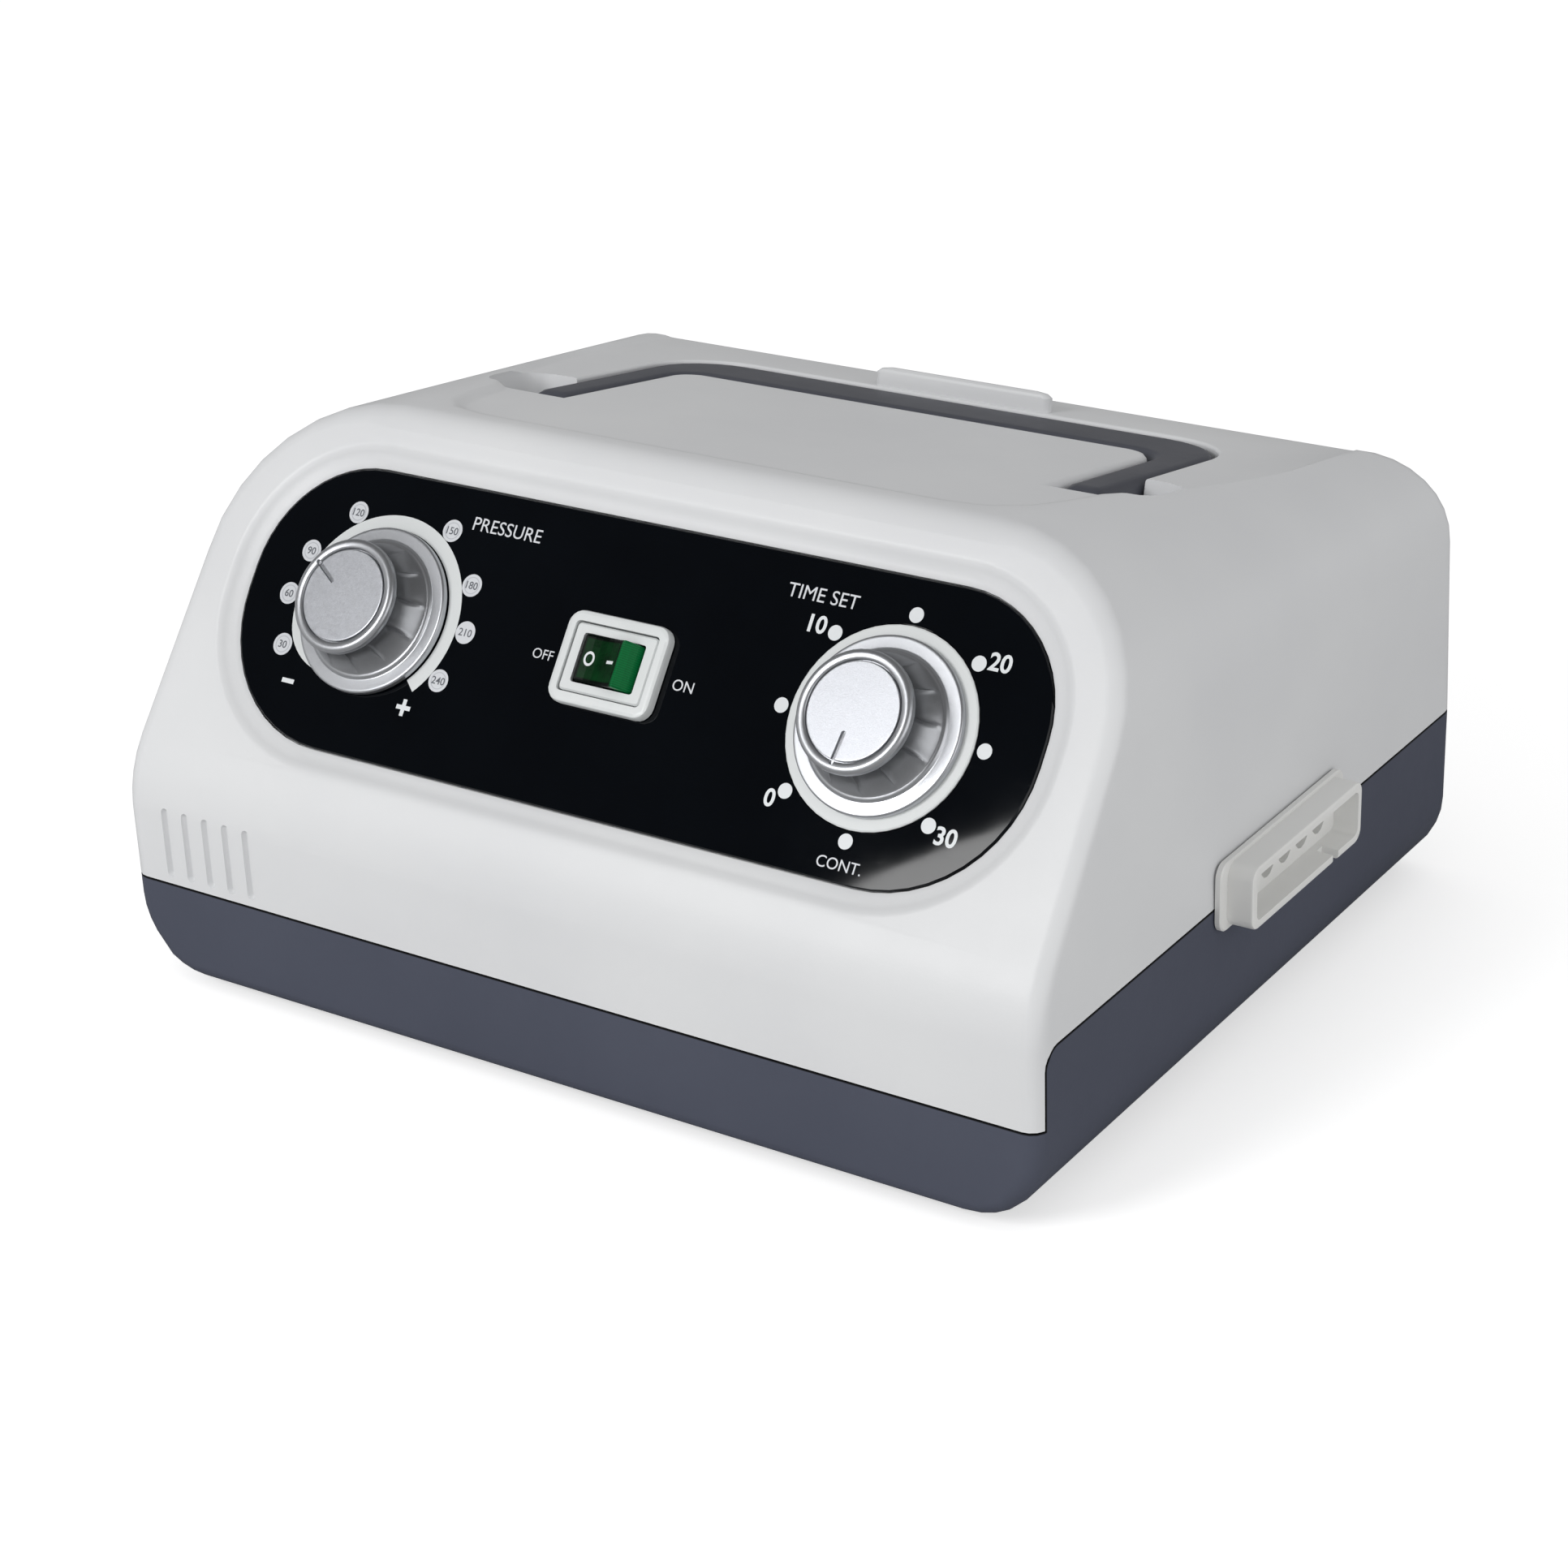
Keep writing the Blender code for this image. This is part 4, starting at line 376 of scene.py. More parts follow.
def baseColour(material):
    shader = next(node for node in material.node_tree.nodes if node.type == "BSDF_PRINCIPLED")
    return shader.inputs["Base Color"]


# Knobs darken in the neck under the rim, where little light gets in: heights above the panel.
neckShade = {
    "low": 0.0024, "start": 0.0031, "high": 0.0094, "rim": 0.0104, "ease": 0.0003,
    "first": 0.2, "more": 0.55, "tone": (26, 28, 31),
}


def shadeNeck(material):
    g, tree, colour = neckShade, material.node_tree, baseColour(material)
    height = panelLevel(tree, objectPlace(tree), panelOut)
    under = plus(tree, rampNode(tree, height, g["low"], g["start"], 0, g["first"]),
                 rampNode(tree, height, g["start"], g["high"], 0, g["more"]))
    neck = rampNode(tree, height, g["rim"], g["rim"] + g["ease"], 1, 0)
    tone = mixColour(tree, times(tree, under, neck), colour.links[0].from_socket, shade(*g["tone"]))
    feed(tree, colour, tone)


# Shadow line on the base, just under the seam. The seam runs at one height in front, at another along the
# sides and the rear, and steps up between them round a radius.
seamShade = {
    "front": 0.0252, "side": 0.0426, "step": -0.09655, "radius": 0.0045, "full": 0.0002, "fade": 0.0004,
    "tone": (7, 8, 11),
}


def shadeSeam(material):
    g, tree, colour = seamShade, material.node_tree, baseColour(material)
    spot = add(tree, "ShaderNodeSeparateXYZ", [(0, objectPlace(tree))]).outputs
    behind = minus(tree, spot["Y"], g["step"])
    under = minus(tree, g["side"], spot["Z"])
    corner = [mathNode(tree, "MAXIMUM", minus(tree, g["radius"], reach), 0) for reach in (behind, under)]
    far = mathNode(tree, "SQRT", plus(tree, *(times(tree, reach, reach) for reach in corner)))
    depth = mathNode(tree, "MAXIMUM", minus(tree, g["front"], spot["Z"]), minus(tree, g["radius"], far))
    tone = mixColour(tree, rampNode(tree, depth, g["full"], g["fade"]), shade(*g["tone"]),
                     colour.links[0].from_socket)
    feed(tree, colour, tone)


finishes = {name: plasticMaterial(name, *values) for name, values in plastics.items()}
finishes.update({name: plasticMaterial(name, *tones, *inkSurface) for name, tones in inks.items()})
finishes.update({name: metalMaterial(name, *values) for name, values in metals.items()})
finishes["panel_black"] = panelMaterial()
finishes["rocker_green"] = rockerMaterial()
shadeSeam(finishes["base_slate"])
shadeNeck(finishes["knob_satin"])
for label, node in nodes.items():
    for index in range(len(node.material_slots)):
        node.material_slots[index].material = finishes[slotOf[label]]
print("finishes on", len(nodes), "nodes")


# Distances in metres within which points of a mesh count as one, or as lying in one plane.
welds = {"cad": 2e-6, "own": 1e-7, "turned": 1e-6, "flat": 1e-5}


def linked(name, data):
    item = bpy.data.objects.new(name, data)
    scene.collection.objects.link(item)
    return item


def addPiece(name, mesh, finish, body, place=None):
    if place is not None:
        mesh.transform(place)
    mesh.materials.clear()
    mesh.materials.append(finishes[finish])
    piece = linked(name, mesh)
    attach(piece, body)
    return piece


def bakeObject(piece, name):
    bpy.context.view_layer.update()
    ready = piece.evaluated_get(bpy.context.evaluated_depsgraph_get())
    mesh = bpy.data.meshes.new_from_object(ready)
    mesh.name = name
    bpy.data.objects.remove(piece)
    return mesh


def asMesh(work, name):
    mesh = bpy.data.meshes.new(name)
    work.to_mesh(mesh)
    work.free()
    return mesh


# Merges doubles, turns the faces outwards and marks the edges that bend more than so many degrees.
def tidyNormals(mesh, sharp):
    work = bmesh.new()
    work.from_mesh(mesh)
    bmesh.ops.remove_doubles(work, verts=work.verts, dist=welds["own"])
    bmesh.ops.recalc_face_normals(work, faces=work.faces)
    for edge in work.edges:
        edge.smooth = edge.calc_face_angle(0) < math.radians(sharp)
    for face in work.faces:
        face.smooth = True
    work.to_mesh(mesh)
    work.free()
    return mesh


def evenShading(mesh, sharp):
    tidyNormals(mesh, sharp)
    holder = linked("holder", mesh)
    weighted = holder.modifiers.new("even", "WEIGHTED_NORMAL")
    weighted.keep_sharp = True
    weighted.weight = 60  # above 50, large faces count for more than small ones
    return bakeObject(holder, mesh.name)


# Visible CAD pieces whose facets would show: a welded copy with soft shading, up to so many degrees, stands
# for each.
softened = {
    "top_shell": 32, "base_shell": 32, "carry_handle": 38, "control_panel": 30, "outlet_socket": 34,
    "switch_frame": 34, "power_inlet": 34, "distributor_block": 34,
}
# Flat faces of the rear wall, outside and inside, whose triangles fold over each other: each is laid again.
folded = {"top_shell": (0.09715, 0.09475)}


def layAgain(work, level):
    flat = [face for face in work.faces if all(abs(vert.co.y - level) < welds["flat"] for vert in face.verts)]
    bmesh.ops.delete(work, geom=flat, context="FACES_ONLY")
    bmesh.ops.delete(work, geom=[edge for edge in work.edges if not edge.link_faces], context="EDGES")
    rim = [edge for edge in work.edges if len(edge.link_faces) == 1]
    made = bmesh.ops.contextual_create(work, geom=rim)["faces"]
    bmesh.ops.triangulate(work, faces=made)
    print("laid again", len(flat), "faces round", len(rim), "edges as", len(made))


def softenNode(label, sharp):
    work = bmesh.new()
    work.from_mesh(nodes[label].data)
    bmesh.ops.remove_doubles(work, verts=work.verts, dist=welds["cad"])
    bmesh.ops.dissolve_degenerate(work, edges=work.edges, dist=welds["own"])
    for level in folded.get(label, ()):
        layAgain(work, level)
    mesh = evenShading(asMesh(work, label + "Soft"), sharp)
    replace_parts(addPiece(label + "_soft", mesh, slotOf[label], bodyOf[label]), label)


for label, sharp in softened.items():
    softenNode(label, sharp)
print("softened", len(softened), "pieces")


# Geometry node trees: a turned form from a profile, and a ring of equal pieces.
def closeTree(tree, out, made, finish):
    whole = add(tree, "GeometryNodeRealizeInstances", [("Geometry", made.outputs[0])])
    painted = add(tree, "GeometryNodeSetMaterial", [("Geometry", whole.outputs[0]), ("Material", finish)])
    tree.links.new(painted.outputs[0], out.inputs[0])
    return tree


def roundPlace(tree, radius, angle, height=0.0):
    spot = add(tree, "ShaderNodeCombineXYZ", [
        (0, times(tree, radius, mathNode(tree, "COSINE", angle))),
        (1, times(tree, radius, mathNode(tree, "SINE", angle))),
        (2, height),
    ])
    return spot.outputs[0]


fluteHollow = {"beside": 0.75, "middle": 0.25}  # share of the depth beside a ridge, and what the middle adds


def turnedTree():
    tree, given, out = newTree("turnedForm", "GeometryNodeTree", [
        ("Geometry", "Geometry", None), ("Sides", "Int", 144), ("Flutes", "Int", 12), ("Ridge", "Float", 0.1),
        ("Finish", "Material", None),
    ], [("Geometry", "Geometry")])
    line, sides = given.outputs["Geometry"], given.outputs["Sides"]
    count = add(tree, "GeometryNodeAttributeDomainSize", [("Geometry", line)]).outputs["Point Count"]
    grid = add(tree, "GeometryNodeMeshGrid", [("Vertices X", plus(tree, sides, 1)), ("Vertices Y", count)])
    index = add(tree, "GeometryNodeInputIndex").outputs[0]
    row = mathNode(tree, "MODULO", index, count)
    column = mathNode(tree, "FLOOR", mathNode(tree, "DIVIDE", index, count))
    share = mathNode(tree, "DIVIDE", column, sides)
    read = add(tree, "GeometryNodeSampleIndex", [("Geometry", line), ("Index", row)],
               data_type="FLOAT_VECTOR")
    tree.links.new(add(tree, "GeometryNodeInputPosition").outputs[0], read.inputs["Value"])
    profile = add(tree, "ShaderNodeSeparateXYZ", [(0, read.outputs["Value"])]).outputs
    wave = mathNode(tree, "FRACT", times(tree, share, given.outputs["Flutes"]))
    away = times(tree, mathNode(tree, "ABSOLUTE", minus(tree, wave, 0.5)), 2)
    near = mathNode(tree, "DIVIDE", away, given.outputs["Ridge"])
    ridge = mathNode(tree, "EXPONENT", times(tree, times(tree, near, near), -1))
    belly = plus(tree, fluteHollow["beside"], times(tree, away, fluteHollow["middle"]))
    depth = times(tree, profile["Y"], times(tree, minus(tree, 1, ridge), belly))
    place = roundPlace(tree, minus(tree, profile["X"], depth), times(tree, share, 2 * math.pi), profile["Z"])
    moved = add(tree, "GeometryNodeSetPosition", [("Geometry", grid.outputs["Mesh"]), ("Position", place)])
    merged = add(tree, "GeometryNodeMergeByDistance",
                 [("Geometry", moved.outputs[0]), ("Distance", welds["turned"])])
    return closeTree(tree, out, merged, given.outputs["Finish"])


def ringTree():
    tree, given, out = newTree("ringOfPieces", "GeometryNodeTree", [
        ("Geometry", "Geometry", None), ("Count", "Int", 8), ("Radius", "Float", 0.024),
        ("Start", "Float", 0.0), ("Step", "Float", math.pi / 4), ("Finish", "Material", None),
    ], [("Geometry", "Geometry")])
    points = add(tree, "GeometryNodePoints", [("Count", given.outputs["Count"])])
    index = add(tree, "GeometryNodeInputIndex").outputs[0]
    angle = plus(tree, given.outputs["Start"], times(tree, index, given.outputs["Step"]))
    place = roundPlace(tree, given.outputs["Radius"], angle)
    moved = add(tree, "GeometryNodeSetPosition", [("Geometry", points.outputs[0]), ("Position", place)])
    copies = add(tree, "GeometryNodeInstanceOnPoints", [
        ("Points", moved.outputs[0]), ("Instance", given.outputs["Geometry"]),
        ("Rotation", add(tree, "ShaderNodeCombineXYZ", [(2, angle)]).outputs[0]),
    ])
    return closeTree(tree, out, copies, given.outputs["Finish"])


trees = {"turned": turnedTree(), "ring": ringTree()}


def runTree(tree, mesh, name, **values):
    holder = linked("holder", mesh)
    modifier = holder.modifiers.new("nodes", "NODES")
    modifier.node_group = tree
    sockets = {item.name: item.identifier for item in tree.interface.items_tree
               if item.item_type == "SOCKET" and item.in_out == "INPUT"}
    for label, value in values.items():
        modifier[sockets[label]] = value
    return bakeObject(holder, name)


# A profile's points are radius, height and, where it has flutes, how deep they cut.
def turnedForm(name, profile, finish, sides, flutes, ridge, sharp):
    points = [(*point, 0) if len(point) == 2 else point for point in profile]
    line = bpy.data.meshes.new(name + "Profile")
    line.from_pydata([(radius, flute, height) for radius, height, flute in points],
                     [(k, k + 1) for k in range(len(points) - 1)], [])
    mesh = runTree(trees["turned"], line, name, Sides=sides, Flutes=flutes, Ridge=ridge,
                   Finish=finishes[finish])
    return tidyNormals(mesh, sharp)


def ringForm(name, outer, inner, height, ink, sides, sharp):
    profile = [(outer, 0), (outer, height), (inner, height), (inner, 0), (outer, 0)]
    return turnedForm(name, profile, ink, sides, 1, 1, sharp)


def arcPoints(middle, radius, start, end, steps):
    spots = []
    for k in range(steps + 1):
        angle = math.radians(start + (end - start) * k / steps)
        spots.append((middle[0] + radius * math.cos(angle), middle[1] + radius * math.sin(angle)))
    return spots


def loftForm(name, rows):
    work = bmesh.new()
    rings = [[work.verts.new(spot) for spot in row] for row in rows]
    work.faces.new(rings[-1])
    work.faces.new(rings[0][::-1])
    for low, high in zip(rings, rings[1:]):
        for k in range(len(low)):
            near = (k + 1) % len(low)
            work.faces.new((low[k], low[near], high[near], high[k]))
    return asMesh(work, name)


def flatForm(name, outline, low, high):
    return loftForm(name, [[(x, y, height) for x, y in outline] for height in (low, high)])


# Near-black strip put in the gap between top and base as a painted shadow line: it follows the outer rim of
# the base, which is found as the sharp outer edges between an upright wall and a face that looks up. It is
# left out behind the air socket.
seamShadowStrip = {
    "radius": 0.00022, "inset": 0.00004, "rise": 0.00015, "sides": 10, "lowest": 0.024, "bend": 0.8,
    "upright": 0.35, "sideways": 0.02, "faceUp": 0.05, "probe": 0.00005, "steep": 3.0, "sharp": 60,
}


def rimSpots(work, hidden):
    g = seamShadowStrip
    tree = BVHTree.FromBMesh(work)
    spots = {}
    for edge in work.edges:
        if len(edge.link_faces) != 2 or not edge.is_convex or edge.calc_face_angle(0) < g["bend"]:
            continue
        middle = (edge.verts[0].co + edge.verts[1].co) / 2
        if middle.z < g["lowest"] or (middle.x > 0 and hidden[0] < middle.y < hidden[1]):
            continue
        pair = tuple(edge.link_faces)
        for rim, wall in (pair, pair[::-1]):
            out = Vector((wall.normal.x, wall.normal.y, 0)).normalized()
            looksUp = abs(rim.normal.x) <= g["sideways"] and rim.normal.z >= g["faceUp"]
            if not looksUp or abs(wall.normal.z) > g["upright"]:
                continue
            start = middle + out * g["probe"]
            slope = (out - Vector((0, 0, g["steep"]))).normalized()
            free = all(tree.ray_cast(start, way)[0] is None for way in (out, slope))
            if free and out.dot(middle) > 0:
                for vert in edge.verts:
                    spots.setdefault(vert, []).append((edge.other_vert(vert), out, rim.normal.copy()))
                break
    return spots


# Orders the rim's points, from its end behind the socket once round the base and over the gaps in the rim.
def rimWalk(spots):
    ends = [vert for vert, near in spots.items() if len(near) == 1 and vert.co.x > 0]
    here = max(ends, key=lambda vert: vert.co.y)
    path, left = [here], [vert for vert in spots if vert != here]
    while left:
        joined = [near[0] for near in spots[here] if near[0] in left]
        here = joined[0] if joined else min(left, key=lambda vert: (vert.co - here.co).length)
        path.append(here)
        left.remove(here)
    return path


def gasketForm():
    g = seamShadowStrip
    work = bmesh.new()
    work.from_mesh(nodes["base_shell"].data)
    bmesh.ops.remove_doubles(work, verts=work.verts, dist=welds["cad"])
    work.normal_update()
    socket = [nodes["outlet_socket"].matrix_world @ vert.co for vert in nodes["outlet_socket"].data.vertices]
    spots = rimSpots(work, (min(spot.y for spot in socket), max(spot.y for spot in socket)))
    path = rimWalk(spots)
    turns = [2 * math.pi * step / g["sides"] for step in range(g["sides"])]
    rows = []
    for k, vert in enumerate(path):
        out = sum((near[1] for near in spots[vert]), Vector()).normalized()
        rise = sum((near[2] for near in spots[vert]), Vector()).normalized()
        along = (path[min(k + 1, len(path) - 1)].co - path[max(k - 1, 0)].co).normalized()
        side = along.cross(out).normalized()
        middle = vert.co - out * (g["radius"] + g["inset"]) + rise * g["rise"]
        rows.append([middle + (out * math.cos(turn) + side * math.sin(turn)) * g["radius"] for turn in turns])
    print("gasket follows", len(path), "rim points")
    work.free()
    return tidyNormals(loftForm("seamShadowStrip", rows), g["sharp"])


# The strip that paints the shadow line in the seam between top and base.
addPiece("seam_shadow_strip", gasketForm(), "shadow_strip_black", "housing")


# Knobs, in mm: radii, and heights above the panel. Twelve flutes run between the narrow neck and the bead
# round the skirt. The short tables are points, each so far out or in from a radius and up or down from a
# height, and a third number is the depth of the flutes there.
knob = {
    "lift": 0.5, "height": 13.0, "bore": 3.3, "cavity": 10.5, "cavityHeight": 6.0, "recess": 12.0,
    "skirtRadius": 19.0, "skirtThick": 1.6, "skirtEdge": 0.15, "skirtRound": 0.5, "skirtFlat": 0.75,
    "waistRadius": 15.0, "bead": ((1.3, 0), (1.05, 0.06), (0.9, 0.26), (0.72, 0.5), (0.48, 0.66), (0.2, 0.7)),
    "neckRadius": 12.1, "neckSteps": 12, "neckFoot": 0.8, "neckCut": 0.9, "neckCurve": 1.7,
    "flutes": 12, "fluteDepth": 0.85, "fluteCurve": 0.7, "fluteEarly": 0.02, "fluteSwell": (0.75, 0.25),
    "ridge": 0.1, "rimRadius": 12.95, "rimThick": 2.6, "neckTop": (0.3, 0, 0.28),
    "rimFoot": ((-0.22, 0.22, 0.16), (0, 0.6, 0.06), (0.02, 1.0, 0)), "rimRound": (1.15, 1.0),
    "rimInside": ((0.75, 0.06), (0.42, 0.2), (0.26, 0.45)), "capGap": 0.24,
    "capRadius": 10.4, "capDrop": 0.2, "capFoot": 0.3,
    "capEdge": ((0, 0.16), (0.04, 0.05), (0.14, 0), (0.3, 0)),
    "sides": 192, "capSides": 128, "sharp": 60, "knobSharp": 36, "capSharp": 30,
    "pointerStart": 4.0, "pointerEnd": 11.75, "pointerWidth": 0.8, "pointerBevel": 0.12, "pointerDepth": 0.5,
    "pointerSteps": 12,
}


def knobProfile():
    k = knob
    top, rim, waist = k["height"], k["rimRadius"], k["waistRadius"]
    rimLow = top - k["rimThick"]
    skirt, skirtTop = k["skirtRadius"], k["lift"] + k["skirtThick"]
    points = [(k["bore"], k["cavityHeight"]), (k["cavity"], k["cavityHeight"]), (k["cavity"], k["lift"])]
    points += [(skirt - k["skirtEdge"], k["lift"]), (skirt, k["lift"] + k["skirtEdge"])]
    points += arcPoints((skirt - k["skirtRound"], skirtTop - k["skirtRound"]), k["skirtRound"], 0, 86, 5)
    points += [(skirt - k["skirtFlat"], skirtTop)]
    points += [(waist + out, skirtTop + up) for out, up in k["bead"]]
    for step in range(k["neckSteps"] + 1):
        share = step / k["neckSteps"]
        height = skirtTop + k["neckFoot"] + (rimLow - skirtTop - k["neckCut"]) * share
        radius = waist + (k["neckRadius"] - waist) * (1 - (1 - share) ** k["neckCurve"])
        middle, end = k["fluteSwell"]
        swell = math.sin(math.pi * min(1, k["fluteEarly"] + share)) ** k["fluteCurve"] * middle + end * share
        points.append((radius, height, k["fluteDepth"] * swell))
    out, up, flute = k["neckTop"]
    points.append((k["neckRadius"] + out, rimLow + up, flute))
    points += [(rim + out, rimLow + up, flute) for out, up, flute in k["rimFoot"]]
    wide, tall = k["rimRound"]
    for angle in range(8, 100, 10):
        turn = math.radians(angle)
        points.append((rim - wide + wide * math.cos(turn), top - tall + tall * math.sin(turn)))
    points += [(k["capRadius"] + out, top - down) for out, down in k["rimInside"]]
    points += [(k["capRadius"] + k["capGap"], k["recess"]), (k["bore"], k["recess"])]
    points += [(k["bore"], k["cavityHeight"])]
    return [mm(*point) for point in points]


def capProfile():
    k = knob
    rim, foot, top = k["capRadius"], k["recess"] + k["capFoot"], k["height"] - k["capDrop"]
    edge = [(rim - inset, top - down) for inset, down in k["capEdge"]]
    points = [(0, foot), (rim, foot), *edge, (0, top)]
    return [mm(*point) for point in points]


def pointerCutter(name):
    k = knob
    floor = k["height"] - k["capDrop"] - k["pointerDepth"]
    start, end = k["pointerStart"] + k["pointerWidth"], k["pointerEnd"] - k["pointerWidth"]
    rows = []
    for rise in (0, 1, 4):  # the notch's floor, the cap's face and well above it
        half = k["pointerWidth"] / 2 + k["pointerBevel"] * rise
        outline = arcPoints((start, 0), half, 90, 270, k["pointerSteps"])
        outline += arcPoints((end, 0), half, -90, 90, k["pointerSteps"])
        rows.append([mm(x, y, floor + k["pointerDepth"] * rise) for x, y in outline])
    return loftForm(name, rows)


def cutWith(mesh, cutter, name):
    holder, tool = linked("holder", mesh), linked("tool", cutter)
    modifier = holder.modifiers.new("cut", "BOOLEAN")
    modifier.object = tool
    modifier.solver = "EXACT"
    result = bakeObject(holder, name)
    bpy.data.objects.remove(tool)
    return result


def dialKnob(label, at, pointer):
    k = knob
    place = onPanel(at) @ Matrix.Rotation(math.radians(pointer), 4, "Z")
    name = label + "KnobForm"
    body = turnedForm(name, knobProfile(), "knob_satin", k["sides"], k["flutes"], k["ridge"], k["sharp"])
    body = evenShading(cutWith(body, pointerCutter("notch"), name), k["knobSharp"])
    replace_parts(addPiece(label + "_knob_turned", body, "knob_satin", label + "_dial", place),
                label + "_knob")
    name = label + "CapForm"
    cap = turnedForm(name, capProfile(), "cap_satin", k["capSides"], 1, 1, k["sharp"])
    cap = evenShading(cutWith(cap, pointerCutter("pointer"), name), k["capSharp"])
    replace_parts(addPiece(label + "_cap_turned", cap, "cap_satin", label + "_dial", place),
                label + "_knob_cap")


dialKnob("pressure", places["pressureAt"], places["pressurePointer"])
dialKnob("timer", places["timerAt"], places["timerPointer"])
print("knobs turned")


# Printed marks on the panel, each a hair thick, in metres.
printing = {"low": -0.00002, "high": 0.00003, "dotSides": 40, "capitalShare": 0.69}


def inkPiece(name, mesh, ink, place):
    return addPiece(name, mesh, ink, "housing", place)


def inkForm(name, outline):
    return flatForm(name, outline, printing["low"], printing["high"])


def roundOutline(radius):
    turns = [2 * math.pi * k / printing["dotSides"] for k in range(printing["dotSides"])]
    return [(radius * math.cos(turn), radius * math.sin(turn)) for turn in turns]


def wordMesh(name, words, height, weight, low=printing["low"], high=printing["high"]):
    curve = bpy.data.curves.new(name, "FONT")
    curve.body = words
    curve.align_x = "CENTER"
    curve.size = height / printing["capitalShare"]
    curve.offset = weight
    curve.extrude = (high - low) / 2
    curve.resolution_u = 4
    mesh = bakeObject(linked("word", curve), name)
    bpy.data.curves.remove(curve)
    xs = [v.co.x for v in mesh.vertices]
    ys = [v.co.y for v in mesh.vertices]
    middle = ((min(xs) + max(xs)) / 2, (min(ys) + max(ys)) / 2)
    mesh.transform(Matrix.Translation((-middle[0], -middle[1], (low + high) / 2)))
    return mesh


# Words and numbers: text, middle across and along the panel and height in mm, extra weight in metres, ink.
words = {
    "label_pressure": ("PRESSURE", -38.3, 24.0, 3.0, 0, "inkPale"),
    "label_time": ("TIME SET", 43.2, 24.0, 3.0, 0, "inkPale"),
    "label_off": ("OFF", -19.1, -0.8, 2.2, 0, "inkPale"),
    "label_on": ("ON", 17.3, -0.8, 2.4, 0, "inkPale"),
    "label_continuous": ("CONT.", 65.7, -28.9, 2.4, 0, "inkPale"),
    "time_0": ("0", 45.5, -19.0, 3.6, 0.00012, "inkWhite"),
    "time_10": ("10", 44.0, 18.0, 3.6, 0.00012, "inkWhite"),
    "time_20": ("20", 87.1, 18.0, 3.6, 0.00012, "inkWhite"),
    "time_30": ("30", 87.0, -18.4, 3.6, 0.00012, "inkWhite"),
}
for name, (text, across, along, height, weight, ink) in words.items():
    inkPiece(name, wordMesh(name, text, height / 1000, weight), ink, onPanel(*mm(across, along)))

# Plus and minus by the pressure dial, in mm: middle across and along, arm length and thickness.
signs = {"minus": (-82.9, -19.4, 3.4, 1.05), "plus": (-50.1, -19.1, 3.8, 1.0)}


def signOutline(name, length, thick):
    a, b = mm(length / 2, thick / 2)
    if name == "minus":
        return [(-a, -b), (a, -b), (a, b), (-a, b)]
    return [(b, -a), (b, -b), (a, -b), (a, b), (b, b), (b, a), (-b, a), (-b, b), (-a, b), (-a, -b), (-b, -b),
            (-b, -a)]


for name, (across, along, length, thick) in signs.items():
    outline = signOutline(name, length, thick)
    inkPiece("sign_" + name, inkForm("sign_" + name, outline), "inkWhite", onPanel(*mm(across, along)))

# Pressure scale, in mm: discs round the dial at their angles, each with its number and all but one with a
# ring. The digits lie a hair above the discs.
pressureScale = {
    "radius": 25.0, "disc": 2.55,
    "ring": (1.95, 1.75, 0.045), "ringSides": 40, "ringSharp": 20, "ringless": 210,
    "digits": 1.65, "digitWeight": 0.02, "digitLow": 0.02, "digitHigh": 0.06,
    "marks": {30: 207.8, 60: 180.3, 90: 155.5, 120: 122.5, 150: 58.6, 180: 24.6, 210: 0, 240: -27.6},
}


def pressureMarks():
    s = pressureScale
    digitSizes = mm(s["digits"], s["digitWeight"], s["digitLow"], s["digitHigh"])
    for value, angle in s["marks"].items():
        turn = math.radians(angle)
        middle = mm(places["pressureAt"] * 1000 + s["radius"] * math.cos(turn), s["radius"] * math.sin(turn))
        name = "mark_" + str(value)
        place = onPanel(*middle)
        inkPiece(name, inkForm(name, roundOutline(s["disc"] / 1000)), "inkPale", place)
        if value != s["ringless"]:
            mesh = ringForm(name + "Ring", *mm(*s["ring"]), "inkGrey", s["ringSides"], s["ringSharp"])
            inkPiece(name + "_ring", mesh, "inkGrey", place)
        inkPiece(name + "_digits", wordMesh(name + "Digits", str(value), *digitSizes), "inkDark", place)


pressureMarks()

# White band round the pressure dial, in mm and degrees: it starts square by the plus and thins to nothing
# by the minus.
pressureBand = {
    "inner": 19.15, "outer": 22.4, "tip": 0.08,
    "start": -43, "full": 200, "end": 234, "taper": 1.6, "steps": 84, "sharp": 30,
}


def bandForm():
    b = pressureBand
    outside, inside = [], []
    for k in range(b["steps"] + 1):
        angle = b["start"] + (b["end"] - b["start"]) * k / b["steps"]
        share = max(0, (angle - b["full"]) / (b["end"] - b["full"]))
        reach = b["inner"] + b["tip"] + (b["outer"] - b["inner"] - b["tip"]) * (1 - share ** b["taper"])
        turn = math.radians(angle)
        outside.append(mm(reach * math.cos(turn), reach * math.sin(turn)))
        inside.append(mm(b["inner"] * math.cos(turn), b["inner"] * math.sin(turn)))
    work = bmesh.new()
    low, high = printing["low"], printing["high"]
    rows = [[work.verts.new((x, y, z)) for x, y in line]
            for line, z in ((inside, low), (outside, low), (outside, high), (inside, high))]
    for k in range(b["steps"]):
        for index in range(4):
            first, second = rows[index], rows[(index + 1) % 4]
            work.faces.new((first[k], first[k + 1], second[k + 1], second[k]))
    work.faces.new([row[0] for row in rows])
    work.faces.new([row[-1] for row in rows][::-1])
    return tidyNormals(asMesh(work, "pressureBand"), b["sharp"])


addPiece("pressure_band", bandForm(), "trim_white", "housing", onPanel(places["pressureAt"]))

